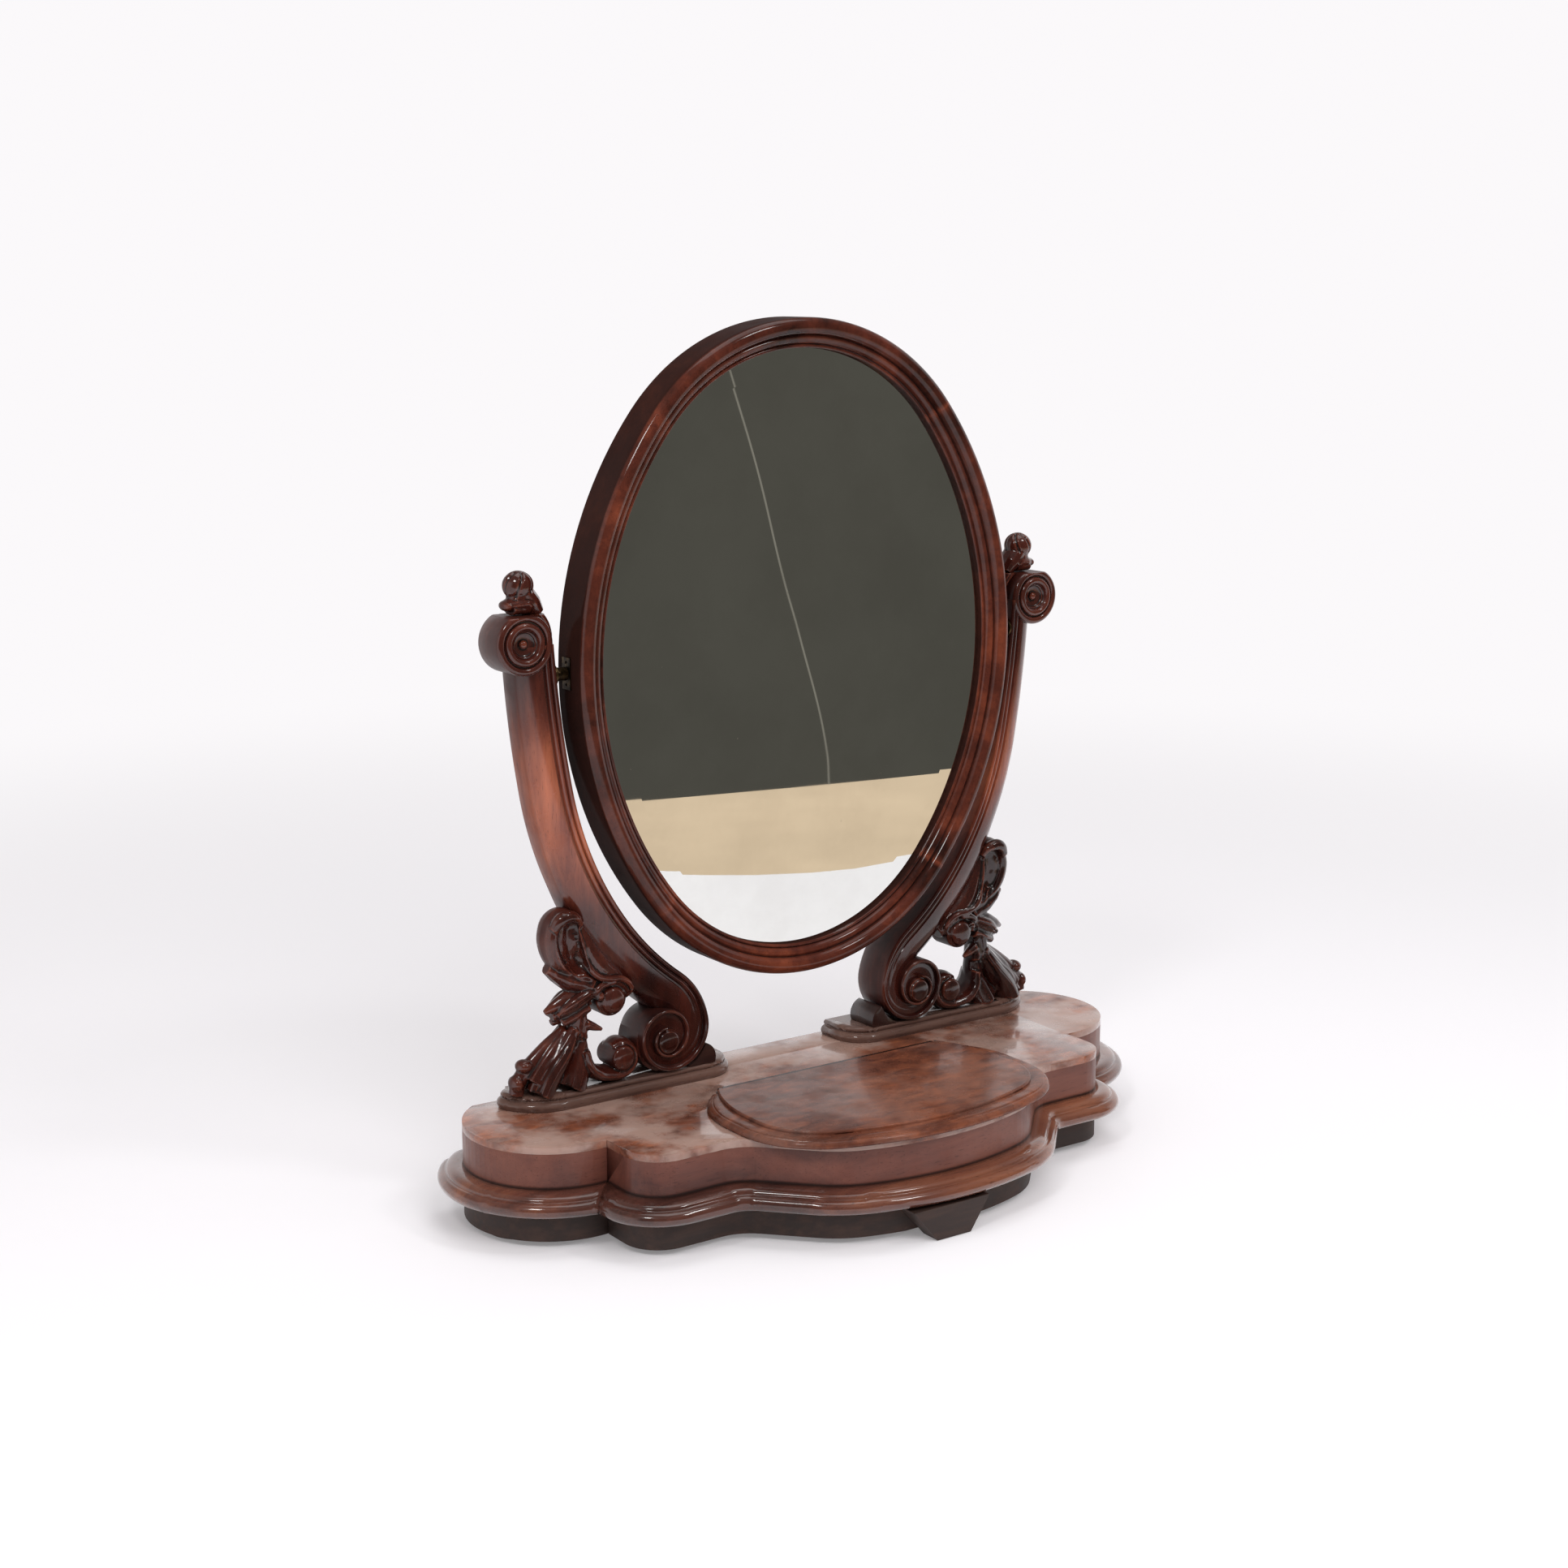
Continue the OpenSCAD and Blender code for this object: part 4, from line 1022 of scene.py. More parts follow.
    @staticmethod
    def mirrored(thing: Thing, name: str) -> Thing:
        """A copy on the other side of the middle plane.

        Args:
            thing: the object.
            name: the copy's name.

        Returns:
            The copy, with its own mesh.
        """
        mesh = thing.data.copy()
        mesh.name = name
        mesh.transform(Matrix.Scale(-1.0, 4, (1.0, 0.0, 0.0)))
        mesh.flip_normals()
        return Bench.add(name, mesh)

    @staticmethod
    def place(thing: Thing, node: str, body: str, slot: str, material: Material) -> None:
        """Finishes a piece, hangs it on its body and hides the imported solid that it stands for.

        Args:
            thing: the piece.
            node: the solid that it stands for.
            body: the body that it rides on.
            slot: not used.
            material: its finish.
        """
        thing.data.materials.clear()
        thing.data.materials.append(material)
        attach(thing, body)
        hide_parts(node)
        log.info("made %s for %s", thing.name, node)


@dataclass
class OvalMirror:
    """The swing plate: moulded oval frame in five glued lengths, and the bevelled plate."""

    half_width: float = 220.5
    half_height: float = 278.5
    # how much smaller the end arcs are than the half width
    end_inset: float = 30.5
    width: float = 25.0
    middle: float = 445.7
    back: float = 115.0
    face: float = 82.0
    rebate: float = 91.0
    glass_rise: float = 1.4
    bevel_rise: float = 0.06
    glass_back: float = 95.0
    # how far in from the frame's inner edge the bevel ends, and how far behind it the bevel and the plate begin
    bevel_end: float = 16.0
    bevel_lap: float = 0.3
    glass_lap: float = 6.3
    split: float = 185.0
    pivot_depth: float = 100.0
    pin_hole: float = 3.5
    pin_hole_length: float = 26.0
    # width of a glue line, at this radius
    glue: float = 0.03
    glue_radius: float = 300.0

    def __post_init__(self) -> None:
        """Works out the four arcs of the oval."""
        self.end_r = self.half_width - self.end_inset
        self.end_c = self.half_height - self.end_r
        self.side_r = (self.end_r**2 - self.half_width**2 - self.end_c**2) / (2 * (self.end_r - self.half_width))
        self.side_c = self.side_r - self.half_width
        self.join = math.degrees(math.atan2(self.end_c, self.side_c))

    def _arc(self, side: int) -> tuple[float, float, float, float, float]:
        """Centre x and z, radius, first and last angle of one side of the oval, anticlockwise from the right."""
        j = self.join
        return (
            (-self.side_c, 0.0, self.side_r, -j, j),
            (0.0, self.end_c, self.end_r, j, 180 - j),
            (self.side_c, 0.0, self.side_r, 180 - j, 180 + j),
            (0.0, -self.end_c, self.end_r, 180 + j, 360 - j),
        )[side]

    def _section(self) -> list[Pair]:
        """The frame's section: distance in from the outer edge, and depth."""
        w = self.width
        return [
            (0.6, self.back), (0.0, self.back - 0.8), (0.0, 84.0),
            *Bench.bow((7.0, self.face - 0.7), 7.0, 7.0, range(184, 345, 8)),
            (w - 10.7, 81.4), (w - 10.1, 81.2), (w - 9.6, 80.6), (w - 8.4, 80.2), (w - 6.8, 80.6), (w - 5.2, 81.8),
            (w - 4.0, 83.6), (w - 3.4, 85.2),
            *Bench.bow((w - 1.6, 85.6), 1.5, 1.5, range(190, 351, 16)),
            (w, 87.0), (w, self.rebate), (w - 7.0, self.rebate), (w - 7.0, self.back),
        ]

    def _swept(
        self, name: str, section: Sequence[Pair], sides: Sequence[Stretch], steps: int = 0, closed: bool = True
    ) -> Thing:
        """Sweeps a section round stretches of the oval.

        Args:
            name: the object's name.
            section: distance in from the outer edge and depth, in millimetres.
            sides: side number, first and last angle of each stretch.
            steps: facets of each stretch, or 0 for one every 2 degrees.
            closed: whether the section's last point joins its first.

        Returns:
            The mesh object.
        """
        side, first, _ = sides[0]
        x, z, radius, _, _ = self._arc(side)
        angle = math.radians(first)
        start = [
            (
                (x + (radius - off) * math.cos(angle)) * MM,
                depth * MM,
                (self.middle + z + (radius - off) * math.sin(angle)) * MM,
            )
            for off, depth in section
        ]
        turns = []
        for side, first, last in sides:
            x, z, _, _, _ = self._arc(side)
            facets = steps or max(8, round((last - first) / 2.0))
            turns.append(((x * MM, 0.0, (self.middle + z) * MM), (0.0, -1.0, 0.0), last - first, facets))
        return Bench.sweep(name, start, turns, closed)

    def _bored(self, piece: Thing, side: float) -> None:
        """Bores the hole that the swing pin turns in.

        Args:
            piece: the frame length.
            side: 1 on the right, -1 on the left.
        """
        Bench.clear()
        bpy.ops.mesh.primitive_cylinder_add(
            vertices=48,
            radius=self.pin_hole * MM,
            depth=self.pin_hole_length * MM,
            location=(side * (self.half_width + 0.5) * MM, self.pivot_depth * MM, self.middle * MM),
            rotation=(0.0, math.pi / 2, 0.0),
        )
        drill = bpy.context.active_object
        bpy.ops.object.transform_apply(location=True, rotation=True, scale=True)
        Bench.modify(piece, "BOOLEAN", object=drill, operation="DIFFERENCE", solver="EXACT")
        bpy.data.objects.remove(drill)

    def build(self, wood: Material, plate: Material) -> None:
        """Makes the five lengths of the frame and the plate.

        Args:
            wood: finish of the frame.
            plate: finish of the glass.
        """
        j, g = self.join, math.degrees(self.glue / self.glue_radius)
        lengths = {
            "frame_top": (1, j, 180 - j),
            "frame_left_upper": (2, 180 - j, self.split),
            "frame_left_lower": (2, self.split, 180 + j),
            "frame_bottom": (3, 180 + j, 360 - j),
            "frame_right": (0, -j, j),
        }
        bores = {"frame_right": 1.0, "frame_left_upper": -1.0}
        for node, (side, first, last) in lengths.items():
            piece = self._swept(f"{node}_moulded", self._section(), [(side, first + g, last - g)])
            if node in bores:
                self._bored(piece, bores[node])
            Bench.hollows(Bench.smooth(piece, degrees=32.0), reach=0.0022, rounds=1)
            Bench.place(piece, node, "mirror", "mahogany", wood)
        glass = Bench.smooth(self._glass(), degrees=0.15)
        Bench.place(glass, "mirror_glass", "mirror", "silvered_glass", plate)

    def _glass(self) -> Thing:
        """The bevelled plate: one sweep round the whole oval, then both faces filled."""
        rise = self.rebate - self.glass_rise
        inner, lip, edge = (self.width + n for n in (self.bevel_end, -self.bevel_lap, -self.glass_lap))
        section = [
            (inner, rise), (lip, rise + self.bevel_rise), (lip, self.rebate),
            (edge, self.rebate), (edge, self.glass_back), (inner, self.glass_back),
        ]
        sides = [(side, *self._arc(side)[3:]) for side in range(4)]
        return self._swept("mirror_plate", section, sides, steps=40, closed=False)


@dataclass
class ScrollSupports:
    """The pair of carved scroll arms that the swing plate hangs between, with their finials."""

    front: float = 90.0
    top: float = 84.0
    depth: float = 40.0
    roll: Point = (262.6, 389.0, 25.0)
    eye: Point = (134.0, 40.5, 11.0)
    finial: Pair = (257.6, 111.0)
    finial_z: float = 494.5
    # height of the pads, the size of a knob, and how far apart the arm's rings are, in millimetres and degrees
    pad: float = 13.0
    knob: Point = (12.8, 12.4, 11.8)
    ring_every: float = 6.0
    arcs: tuple[Arc, ...] = (
        Arc(-761.06, 452.2, 1000.0, -3.7, -10.6),
        Arc(-61.6, 321.3, 288.4, -10.6, -36.0),
        Arc(-30.53, 298.73, 250.0, -36.0, -53.0),
        Arc(162.29, 42.85, 70.4, 127.0, 168.4, True),
        Arc(128.6, 49.8, 36.0, 168.4, 270.0, True),
        Arc(128.6, 44.8, 31.0, 270.0, 360.0, True),
        Arc(135.6, 44.8, 24.0, 0.0, 90.0, True),
        Arc(135.6, 46.3, 22.5, 90.0, 180.0, True),
        Arc(132.6, 46.3, 19.5, 180.0, 270.0, True),
        Arc(132.6, 42.3, 15.5, 270.0, 360.0, True),
        Arc(136.1, 42.3, 12.0, 0.0, 90.0, True),
    )
    # place along the arcs, width of the band, how far it is a scroll strip, and how far it stands forward
    stations: tuple[Knot, ...] = (
        (0.0, 29.0, 0.0, 0.0), (1.0, 31.0, 0.0, 0.0), (1.6, 33.0, 0.0, 0.0), (2.0, 36.5, 0.0, 0.0),
        (3.0, 38.0, 0.0, 0.0), (3.5, 38.0, 0.3, 0.0), (4.0, 34.0, 0.8, 0.0), (5.0, 24.0, 1.0, 0.0),
        (6.0, 19.0, 1.0, 0.2), (7.0, 18.0, 1.0, 0.6), (8.0, 16.0, 1.0, 1.1), (9.0, 15.0, 1.0, 1.6),
        (10.0, 14.0, 1.0, 2.0), (11.0, 11.0, 1.0, 2.3),
    )

    def _at(self, x: float, depth: float, z: float) -> Point:
        """A place on the arm in metres: x, depth behind the front plane, height above the box."""
        return x * MM, (self.front + depth) * MM, (self.top + z) * MM

    def _rib(self, *rows: Knot, flat: float = 1.0) -> Thing:
        """A tapered rib of the carving, by x, depth, height and radius of its knots."""
        return Bench.tube("rib", [(*self._at(x, d, z), r * MM) for x, d, z, r in rows], flat)

    def _lump(self, place: Point, size: Point) -> Thing:
        """A rounded lump of the carving, with its half sizes."""
        return Bench.ball("lump", self._at(*place), tuple(n * MM for n in size))

    def _section(self, width: float, scroll: float) -> list[Pair]:
        """The band's section: distance from the inner edge, and depth behind the front.

        Args:
            width: the band's width.
            scroll: 0 for the arm's beads and broad hollow face, 1 for a scroll's rim and channel.

        Returns:
            The closed line.
        """
        k = min(1.0, width / 20.0)
        bead = Bench.bow((2.0, 2.6), -2.0, -2.2, (22.5 * i for i in range(9)))
        line = [(k * off, depth) for off, depth in bead]
        line.append((k * 4.6, 3.4 + 0.6 * scroll))
        for i in range(7):
            a = math.radians(180 * i / 6)
            rise = 1.9 * math.sin(a) * (1 - scroll)
            line.append((k * (6.8 - 1.9 * math.cos(a)), 3.3 - rise + 1.2 * scroll))
        line += [(k * 9.4, 4.2 + 0.4 * scroll), (k * 10.6, 4.1 + 0.5 * scroll)]
        for i in range(15):
            u = i / 14
            a = math.radians(90 * u)
            band = (11.6 + (width - 11.6) * math.sin(a), 19.0 - 16.4 * math.cos(a))
            strip = (k * 11.2 + (width - k * 11.2) * u, 4.7 + 0.8 * u)
            line.append(tuple(b + (s - b) * scroll for b, s in zip(band, strip)))
        line += [(width, 36.5), (width - 1.0, 38.8), (width - 3.2, 39.6)]
        return line + [(2.6, 39.6), (0.8, 39.0), (0.0, 37.4), (0.0, 20.0)]

    def _band(self) -> Thing:
        """The arm from the roll down, wound up as the lower scroll."""
        rings = []
        for number, arc in enumerate(self.arcs):
            turn = abs(arc.end - arc.start)
            length = turn * arc.radius * math.pi / 180
            steps = max(6, round(length / self.ring_every), round(turn / self.ring_every))
            for i in range(steps + (number == len(self.arcs) - 1)):
                share = i / steps
                at = number + share
                after = next(n for n, row in enumerate(self.stations) if row[0] >= at - 1e-9 and n > 0)
                low, high = self.stations[after - 1], self.stations[after]
                t = (at - low[0]) / (high[0] - low[0])
                width, scroll, forward = (low[n] + (high[n] - low[n]) * t for n in (1, 2, 3))
                ring = []
                for off, depth in self._section(width, scroll):
                    x, z = arc.at(share, off)
                    ring.append(self._at(x, depth - forward * (1 - depth / self.depth), z))
                rings.append(ring)
        return Bench.loft("band", rings)

    def _disc(self, x: float, z: float, line: Iterable[Pair]) -> Thing:
        """A turned boss with its axis front to back, by its centre and its outline's radii and depths."""
        outline = [self._at(x + r, d, z) for r, d in line]
        return Bench.sweep("disc", outline, [(self._at(x, 0.0, z), (0.0, 1.0, 0.0), -360.0, 72)], closed=False)

    def _roll(self) -> Thing:
        """The ringed roll at the top."""
        x, z, r = self.roll
        quarter = range(0, 91, 15)
        line = [
            (0.0, 35.6), (r - 3.2, 35.6), (r - 1.0, 34.8), (r, 32.6), (r, 4.0),
            *Bench.bow((r - 3.4, 3.2), 3.4, -3.4, range(0, 131, 13)),
            (r - 6.3, 2.0), (r - 7.3, 2.1),
            *Bench.bow((r - 10.3, 1.8), 2.9, -3.0, range(10, 151, 14)),
            (r - 13.7, 2.4), (r - 14.6, 3.4),
            *Bench.bow((3.6, 3.6), r - 18.6, 2.4, quarter),
            *Bench.bow((0.0, 5.0), 3.4, -2.6, quarter),
        ]
        return self._disc(x, z, line)

    def _eye(self) -> Thing:
        """The domed eye of the lower scroll, with the wood behind it."""
        x, z, r = self.eye
        line = [(0.0, 38.0), (27.0, 38.0), (27.0, 8.0), (r + 0.3, 7.0), (r, 5.0), (r, 1.4), (r - 0.6, 0.2)]
        return self._disc(x, z, line + Bench.bow((0.0, -0.2), r - 1.2, -2.4, range(0, 91, 10)))

    def _leaves(self) -> Thing:
        """The carved foliage on the outer side, from the curled tip down to the splayed foot."""
        rib, lump, dome = self._rib, self._lump, range(0, 91, 15)
        parts = [
            # curled tip and its hollow
            rib((203, 20, 101, 6), (219, 20, 111, 6), (230, 20, 120, 6.6), (236.6, 20, 133, 7), (237.4, 20, 147, 7),
                (232, 20, 157.4, 7), (224, 19.5, 160.4, 6.6), (217, 18.5, 156, 5.6), (214, 17.5, 149, 4.4), flat=2.0),
            lump((223, 20, 141), (15, 11.5, 24)),
            rib((215, 9, 150, 2.0), (212.5, 7, 136, 2.4), (208.5, 5, 120, 2.6), (201, 3.6, 109, 2.7),
                (190, 3.2, 104.6, 2.7), (178, 3.4, 103, 2.6), (170.4, 3.8, 98, 2.4), (166.6, 5, 92, 1.8)),
            rib((213, 10, 152, 4), (221, 8, 160, 6), (231, 8, 160, 6.2), (238, 10, 151, 4.5)),
            # pointed leaf under it
            rib((203, 20, 100, 11), (219, 20, 106, 10.5), (231, 20, 112.6, 8), (240, 20, 117.5, 4.4), flat=1.3),
            # ground between the band and the leaves
            rib((214, 20, 158, 7), (206, 20, 134, 11), (195, 20, 114, 14), (180, 20, 100, 13), (164, 20, 88, 10),
                flat=1.2),
            lump((193, 21, 95), (16, 14.5, 13)),
            rib((224, 21, 122, 9), (214, 20, 108, 11), (203, 20, 99, 12), flat=1.25),
            # small scroll over the opening
            rib((184, 3.2, 101.5, 2.6), (199, 4.5, 97.5, 2.8), (203, 5, 88, 3.2)),
            # short fluted leaf on its ground
            rib((204, 20, 88, 9), (222, 20, 80, 8), (236, 20, 76, 4), flat=1.3),
            rib((203, 9, 93, 6), (218, 8.5, 87, 6.8), (228, 10, 81, 5), (234, 12, 77, 2.6)),
            rib((205, 17, 94, 6.6), (222, 16.5, 90, 7.2), (234, 17.5, 85, 5.2), (243, 19, 80.6, 2.2)),
            rib((204, 27, 92, 6.4), (220, 27.5, 87, 7), (231, 27, 80, 5), (237, 26, 76, 2.2)),
            rib((206, 13, 83, 7), (219, 13, 76.5, 6.4), (229, 14, 70.6, 3.6)),
            rib((206, 24, 82, 8), (221, 24, 75.4, 6.8), (234, 24, 68.8, 3.2)),
            lump((198.6, 5.4, 90.6), (4.6, 4.4, 4.2)),
            # neck, with a thorn into the opening
            rib((213, 19, 80, 8.6), (214, 19, 66, 9.2), (214, 19, 54, 9.6), flat=1.45),
            rib((208, 13, 66.6, 5), (200, 12, 63, 3.6), (193, 11, 60, 1.6), flat=1.2),
            # long leaf splayed on the foot, over its ground
            rib((220, 20, 60, 9), (236, 20, 40, 13.5), (250, 20, 20, 16), flat=1.15),
            rib((217, 12, 63, 6.4), (230, 11, 46, 9.2), (245, 12, 28, 11.2), (252, 12.6, 14, 11.8)),
            rib((223, 21, 64, 4.8), (241, 21, 50, 6.2), (257, 21.4, 36, 6.8), (267, 22, 24, 6.6), (269, 22, 14, 6.6)),
            rib((219, 27.6, 61, 6.2), (232, 27.6, 45, 9.0), (246, 27.4, 27, 11.0), (252, 27.2, 14, 11.6)),
            lump((262, 21, 38), (7, 8.6, 5.6)),
            lump((269.4, 21.6, 24), (5.6, 9, 7)),
            rib((212, 20, 58, 7.6), (211.4, 20, 42, 8.6), (215, 19.4, 26, 12), (221, 19.4, 14, 15.4), flat=1.2),
            # small scroll at the inner end of the foot
            rib((209, 19, 44, 5), (206, 19, 31, 6), (198, 19, 22.6, 6.6), (187, 19, 19, 6.2), (174, 19, 18.4, 5.6),
                (164.6, 19, 23.4, 5), (161.6, 19, 33, 4.6), (166, 19, 41.4, 4.2), (174.6, 19, 44.4, 4.2),
                (182.6, 19, 41.6, 3.4), flat=2.7),
            # eyes of the two small scrolls
            self._disc(185.2, 85, [(0, 34), (13.0, 34), (14.2, 32), (14.2, 8), (13.0, 6.6), (11.6, 6.4), (11.4, 5.4),
                                   *Bench.bow((0.0, 5.2), 11.2, -4.9, dome)]),
            self._disc(175.2, 32.6, [(0, 34), (9.8, 34), (10.6, 32), (10.6, 6),
                                     *Bench.bow((0.0, 5.6), 10.4, -3.4, dome)]),
        ]
        leaves = Bench.carve("leaves", parts, voxel=0.00085)
        for line, width, depth in (
            # hollow of the curled tip
            (((222, 6, 149), (223, 6, 138), (220, 7, 128), (216, 8, 120)), 8.0, 6.5),
            # middle vein of the pointed leaf
            (((206, 6, 103), (220, 7, 108.5), (232, 9, 114.5)), 3.0, 1.6),
            # flutes of the short leaf
            (((204, 5, 90), (217, 4, 84), (230, 7, 78)), 5.4, 4.0),
            # flutes of the splayed foot, front, outer and back
            (((222, 9, 58), (238, 6, 44), (254, 4, 28), (262, 3, 14)), 5.6, 3.4),
            (((225, 24, 64), (242, 27, 50), (257, 29, 35), (267, 31, 17)), 4.0, 2.6),
            (((214, 8, 56), (223, 5, 40), (232, 3, 16)), 5.2, 3.2),
            # hollow of the neck
            (((211, 6, 74), (213, 6, 64)), 4.0, 2.0),
        ):
            Bench.groove(leaves, [self._at(*place) for place in line], width * MM, depth * MM)
        Bench.modify(leaves, "SMOOTH", factor=0.5, iterations=2)
        Bench.modify(leaves, "DECIMATE", ratio=0.5)
        return Bench.level(leaves, (self.top + self.pad) * MM)

    def _apron(self) -> Thing:
        """The leaf that runs from under the finial down the inner side of the roll."""
        stem = self._rib((257.7, 21, 417, 5.5), (248.4, 21, 413.7, 5.5), (240.8, 21, 407.3, 5.2),
                         (235.8, 21, 398.7, 4.6), (234.1, 21, 389, 4.0), (237.6, 21, 375, 3.0), flat=2.3)
        return Bench.level(Bench.carve("apron", [stem], voxel=0.0009, keep=0.6), self.finial_z * MM, above=False)

    def _finial(self) -> Thing:
        """A knob on a low leaf that leans inward."""
        x, y = self.finial
        z = self.finial_z - self.top
        d = y - self.front
        ball = z + 23.4
        wide, deep, tall = self.knob
        lean = [
            self._rib((x + 10.4, d, z + 8.2, 4.6), (x + 5, d, z + 8.8, 6), (x - 6, d, z + 8.8, 6.8),
                      (x - 12, d, z + 4.6, 4.6), flat=1.9),
            self._rib((x - 3, d, z + 18, 9), (x - 10, d, z + 9, 9), (x - 16, d, z + 1, 6.5), flat=1.3),
            self._rib((x + 8, d, z + 5, 4.8), (x - 6, d, z + 5, 4.8), flat=2.2),
            self._lump((x + 11.2, d, z + 8.0), (4.4, 9.0, 4.2)),
            self._lump((x, d, ball), self.knob),
            self._rib((x, d, z + 8, 9.6), (x, d, z + 18, 9.4), flat=1.1),
        ]
        lump = Bench.carve("finial", lean, voxel=0.0007)
        for start in range(20, 380, 60):
            line = []
            for down in range(24, 140, 12):
                t, turn = math.radians(down), math.radians(start) + math.radians(0.35 * down)
                across, back = wide * math.sin(t) * math.cos(turn), deep * math.sin(t) * math.sin(turn)
                line.append(self._at(x + across, d + back, ball + tall * math.cos(t)))
            Bench.groove(lump, line, 1.4 * MM, 1.2 * MM)
        vein = [self._at(x + 9, d - 14, z + 12), self._at(x - 4, d - 14, z + 12), self._at(x - 14, d - 12, z + 1)]
        Bench.groove(lump, vein, 1.6 * MM, 1.3 * MM)
        Bench.modify(lump, "DECIMATE", ratio=0.5)
        return Bench.level(lump, self.finial_z * MM)

    def build(self, wood: Material, knob: Material) -> None:
        """Makes both arms and both finials.

        Args:
            wood: finish of the arms.
            knob: finish of the finials.
        """
        parts = [self._band(), self._roll(), self._eye(), self._leaves(), self._apron()]
        arm = self._trim(Bench.join("arm_right_carved", parts))
        other = Bench.mirrored(arm, "arm_left_carved")
        for piece, node in ((arm, "arm_right"), (other, "arm_left")):
            Bench.place(Bench.hollows(Bench.smooth(piece, degrees=42.0)), node, "base", "mahogany", wood)
        finial = self._finial()
        finial.name = "finial_right_carved"
        twin = Bench.mirrored(finial, "finial_left_carved")
        for piece, node in ((finial, "finial_right"), (twin, "finial_left")):
            Bench.place(Bench.hollows(Bench.smooth(piece, degrees=50.0)), node, "base", "mahogany", knob)

    def _trim(self, arm: Thing) -> Thing:
        """Keeps the carving inside the solid's box.

        Args:
            arm: the joined arm.

        Returns:
            The same arm.
        """
        low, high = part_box("arm_right")
        for vertex in arm.data.vertices:
            for n in range(3):
                vertex.co[n] = min(max(vertex.co[n], low[n]), high[n])
        return arm


@dataclass
class BoxAndPlinth:
    """The shaped box, its lid and the moulded plinth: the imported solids, merged and softened at their edges."""

    soft_edge: float = 0.5
    # angles in degrees: where shading turns sharp, how flat two faces are to be merged, and what is rubbed
    sharp_from: float = 28.0
    moulding_sharp_from: float = 46.0
    flat_within: float = 0.4
    rubbed_from: float = 40.0

    def build(self, finishes: dict[str, Material]) -> None:
        """Makes every shown piece of the base.

        Args:
            finishes: the material of each kind of piece.
        """
        for kind, body, edge, nodes in (
            ("moulding", "base", 0.0, ("plinth_moulding_front", "plinth_moulding_left", "plinth_moulding_right")),
            ("pad", "base", 0.0, ("pad_left", "pad_right")),
            ("sides", "base", 0.0, ("box_sides",)),
            ("top", "base", self.soft_edge, ("box_top",)),
            ("lid", "lid", 0.0, ("lid_board", "lid_panel")),
            ("dark", "base", self.soft_edge, ("toe_left", "toe_right")),
            # foot and under-frame: stained wood darkened as painted shade under the plinth
            ("stain", "base", self.soft_edge, ("foot_front", "under_frame")),
        ):
            for node in nodes:
                piece = Bench.copied(node, f"{node}_finished")
                if kind in ("moulding", "sides", "stain", "lid"):
                    self._weld(piece)
                if edge:
                    self._soften(piece, edge)
                Bench.smooth(piece, self.moulding_sharp_from if kind == "moulding" else self.sharp_from)
                if kind == "lid":
                    Bench.modify(piece, "WEIGHTED_NORMAL", weight=100, keep_sharp=True)
                Bench.place(piece, node, body, "ebonised" if kind in ("stain", "dark") else "mahogany", finishes[kind])

    @staticmethod
    def _weld(piece: Thing) -> None:
        """Closes the hair joints between the lengths that are glued end to end.

        Args:
            piece: the piece.
        """
        with Bench.editing(piece):
            bpy.ops.mesh.remove_doubles(threshold=HAIR_JOINT)
            bpy.ops.mesh.select_all(action="DESELECT")
            bpy.ops.mesh.select_mode(type="FACE")
            bpy.ops.mesh.select_interior_faces()
            bpy.ops.mesh.delete(type="FACE")
            bpy.ops.mesh.select_mode(type="VERT")

    def _soften(self, piece: Thing, edge: float) -> None:
        """Rubs the sharp edges down.

        Args:
            piece: the piece.
            edge: width of the rubbed edge in millimetres.
        """
        with Bench.editing(piece):
            bpy.ops.mesh.dissolve_limited(angle_limit=math.radians(self.flat_within))
        settings = {"segments": 2, "limit_method": "ANGLE", "angle_limit": math.radians(self.rubbed_from)}
        Bench.modify(piece, "BEVEL", width=edge * MM, use_clamp_overlap=True, harden_normals=False, **settings)


@dataclass
class Joinery:
    """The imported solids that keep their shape, each with its finish."""

    nodes: dict[str, Thing]
    # how the names of each kind of node begin; the first that fits is taken
    kinds: tuple[tuple[str, tuple[str, ...]], ...] = (
        ("brass", ("hinge", "swing_pin", "frame_plate", "backboard_screws")),
        ("steel", ("arm_screws",)),
        ("pine", ("foot_dowels", "bearer", "packing_strips", "backboard")),
        ("velvet", ("trinket_tray",)),
        ("plate", ("mirror_glass",)),
        ("moulding_plain", ("plinth",)),
        ("pad", ("pad",)),
        ("top", ("box_top",)),
        ("lid", ("lid",)),
        ("sides", ("box_sides",)),
        ("arm_plain", ("arm", "finial")),
        ("frame_plain", ("frame",)),
        ("dark", ("toe",)),
        ("stain", ("foot", "under")),
    )

    def dress(self, finishes: dict[str, Material]) -> None:
        """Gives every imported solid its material.

        Args:
            finishes: the material of each kind of piece.
        """
        for name, node in sorted(self.nodes.items()):
            kind = next((kind for kind, starts in self.kinds if name.startswith(starts)), None)
            if kind is None:
                log.warning("no finish for %s", name)
                continue
            for slot in node.material_slots:
                slot.material = finishes[kind]
            if not node.material_slots:
                node.data.materials.append(finishes[kind])
            log.info("dressed %s with %s", name, finishes[kind].name)


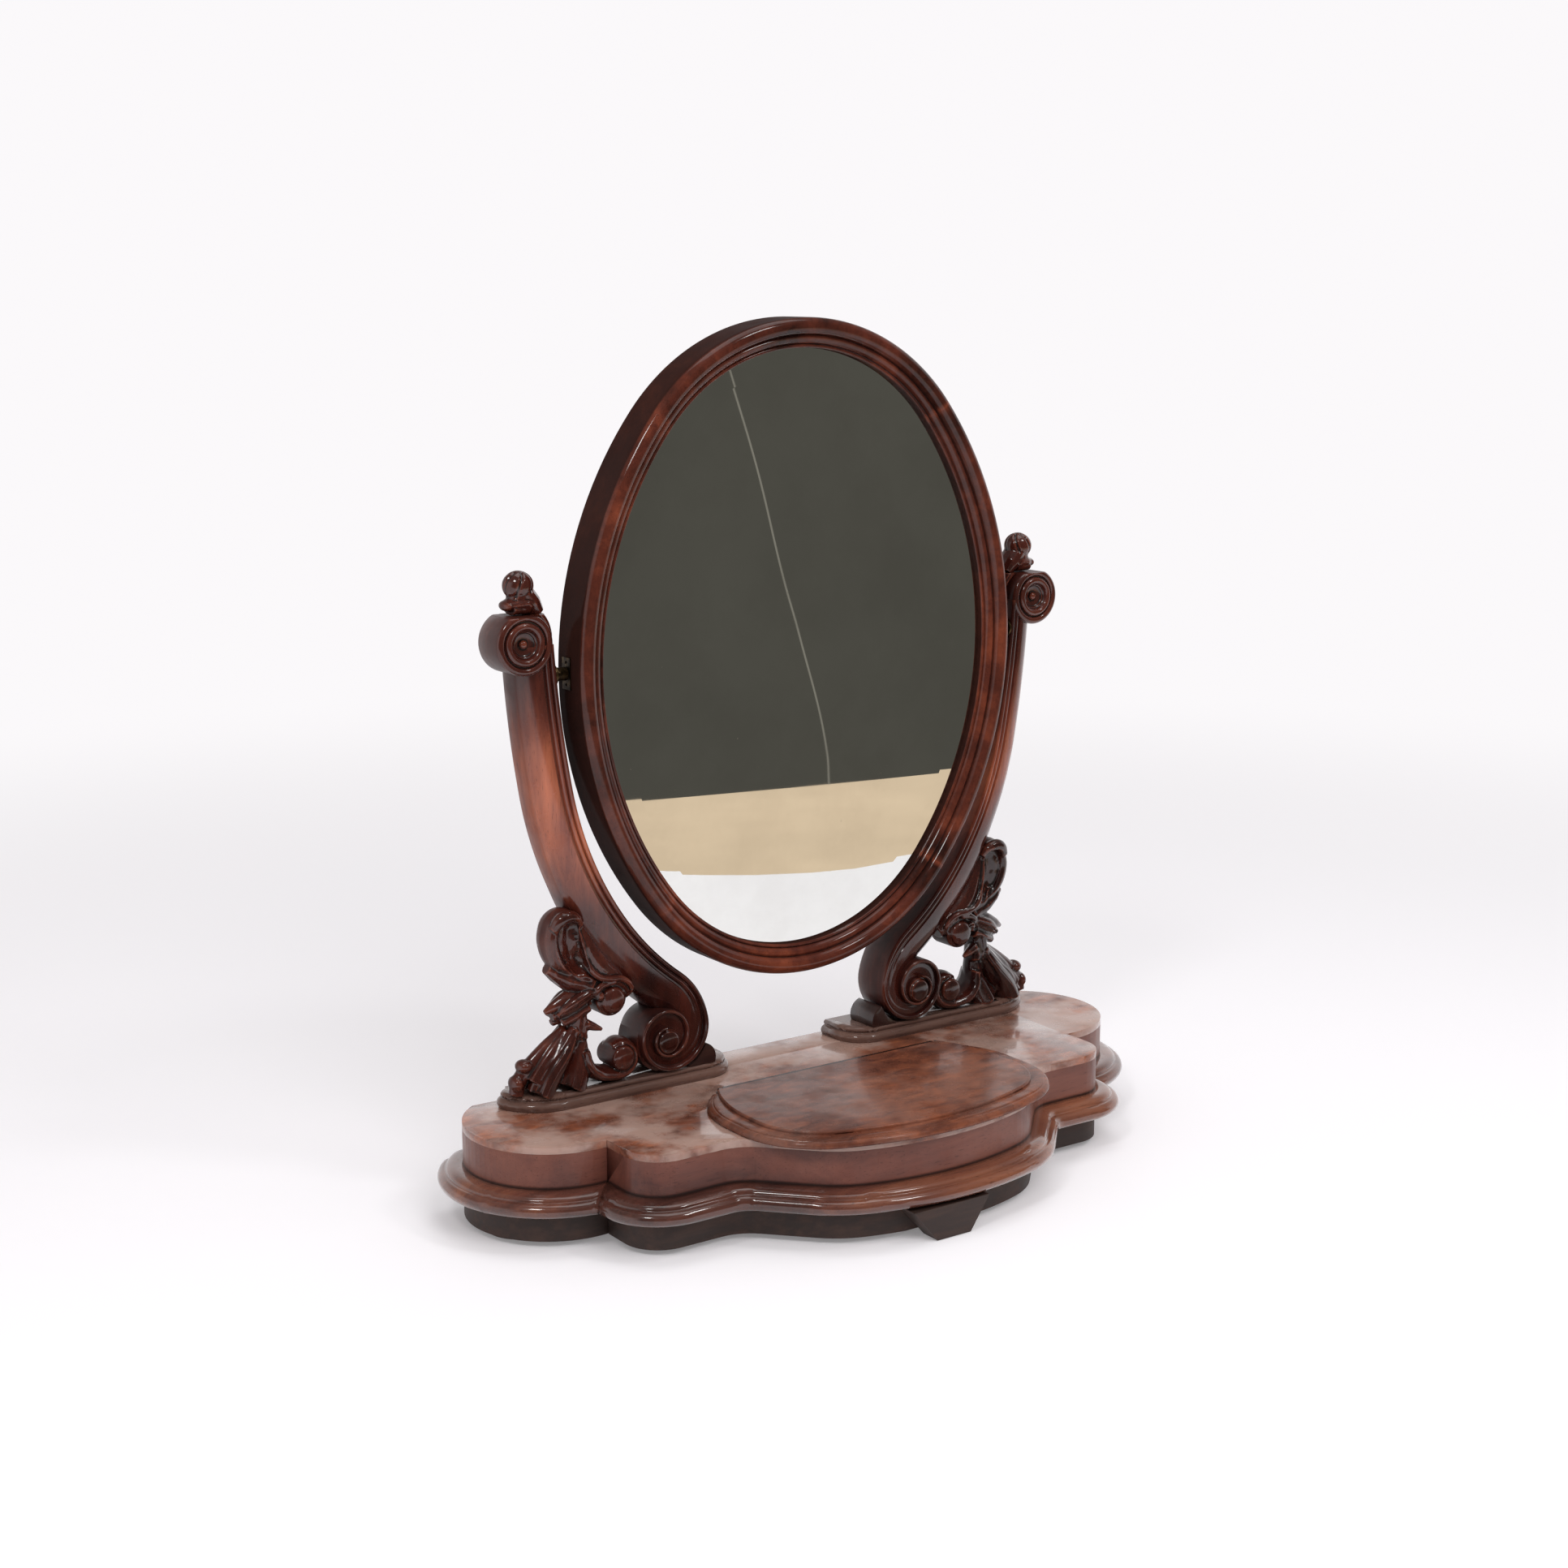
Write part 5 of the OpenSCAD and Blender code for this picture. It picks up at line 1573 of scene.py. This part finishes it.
def make_finishes() -> dict[str, Material]:
    """Makes the finish of each kind of piece.

    Returns:
        The materials by kind.
    """
    red = {"dark": (0.050, 0.013, 0.010), "body": (0.200, 0.046, 0.026), "warm": (0.52, 0.145, 0.066)}
    dull = {"dark": (0.080, 0.030, 0.024), "body": (0.165, 0.055, 0.038), "warm": (0.240, 0.084, 0.054)}
    flame = {"grain": Grain.FLAME, "figure": 60.0, "shadowed_gap": (0.044, 0.122)}
    board = {"dark": (0.075, 0.024, 0.015), "body": (0.215, 0.068, 0.036), "warm": (0.45, 0.140, 0.060), **flame}
    lid = {"dark": (0.050, 0.017, 0.012), "body": (0.142, 0.046, 0.027), "warm": (0.30, 0.094, 0.045), **flame}
    lid["shift"] = (0.3, 0.1, 0.0)
    grey = {"dark": (0.060, 0.032, 0.025), "body": (0.135, 0.072, 0.056), "warm": (0.21, 0.115, 0.088)}
    base = {"dark": (0.038, 0.014, 0.011), "body": (0.122, 0.042, 0.029), "warm": (0.26, 0.092, 0.048)}
    frame_red = {"dark": (0.024, 0.007, 0.005), "body": (0.094, 0.022, 0.013), "warm": (0.235, 0.055, 0.026)}
    frame_red["grain"] = Grain.END_ON
    arm = {"grain": Grain.ALONG_Z, "pale_shaft": (0.23, 0.32, 0.35, 0.45), **red}
    # dirt and painted shade in hollows, painted highlight on ridges, painted shade on the sides
    worn_and_shaded = {"hollows": True, "dull_shaded_sides": 0.15, "coat_roughness": 0.11}
    shaded = {"hollows": True, "dull_shaded_sides": 0.85, "coat_roughness": 0.10}
    recipes = {
        "carved": PolishedMahogany("mahogany_carved", roughness=0.22, polish=1.0, specular=0.20, **worn_and_shaded, **arm),
        "arm_plain": PolishedMahogany("mahogany_arms", **arm),
        "moulded": PolishedMahogany("mahogany_moulded", polish=0.78, specular=0.0, **shaded, **frame_red),
        "frame_plain": PolishedMahogany("mahogany_frame", **frame_red),
        "moulding": PolishedMahogany("mahogany_plinth", roughness=0.18, polish=1.0, patchy=0.15, **base),
        "moulding_plain": PolishedMahogany("mahogany_base", **base),
        "pad": PolishedMahogany("mahogany_pads", specular=0.15, **grey),
        "sides": PolishedMahogany("mahogany_sides", roughness=0.40, polish=0.15, patchy=0.1, junction_shade_height=0.0485, **dull),
        "top": PolishedMahogany("mahogany_top", roughness=0.30, polish=0.8, patchy=0.6, haze=0.80, **board),
        "lid": PolishedMahogany(
            "mahogany_lid", roughness=0.28, polish=0.17, patchy=0.15, haze=0.14, specular=0.12, **lid
        ),
        "dark": PolishedMahogany(
            "mahogany_dark", body=(0.030, 0.012, 0.010), warm=(0.070, 0.026, 0.018), roughness=0.3
        ),
        "stain": ShadedStainedWood("dark_stain_shaded"),
        "pine": BarePine("pine"),
        "brass": AgedBrass("brass"),
        "steel": PlainSteel("screw_steel"),
        "velvet": Velvet("velvet"),
        "plate": SilveredPlate("silvered_plate"),
    }
    return {kind: recipe.make() for kind, recipe in recipes.items()}


def main(frame: dict) -> None:
    """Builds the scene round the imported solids.
    """
    logging.basicConfig(level=logging.INFO, format="%(name)s: %(message)s")
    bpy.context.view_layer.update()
    bpy.ops.object.select_all(action="DESELECT")
    Viewpoint().build()
    Studio().build()
    finishes = make_finishes()
    OvalMirror().build(finishes["moulded"], finishes["plate"])
    ScrollSupports().build(finishes["carved"], finishes["carved"])
    BoxAndPlinth().build(finishes)
    Joinery(frame["nodes"]).dress(finishes)


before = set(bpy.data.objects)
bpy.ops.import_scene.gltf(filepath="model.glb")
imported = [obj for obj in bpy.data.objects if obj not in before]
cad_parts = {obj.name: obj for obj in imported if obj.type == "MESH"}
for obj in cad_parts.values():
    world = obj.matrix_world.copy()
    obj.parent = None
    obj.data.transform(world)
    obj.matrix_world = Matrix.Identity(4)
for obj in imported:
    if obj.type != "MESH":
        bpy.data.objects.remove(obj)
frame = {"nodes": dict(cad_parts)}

if __name__ == "__main__":
    main(frame)
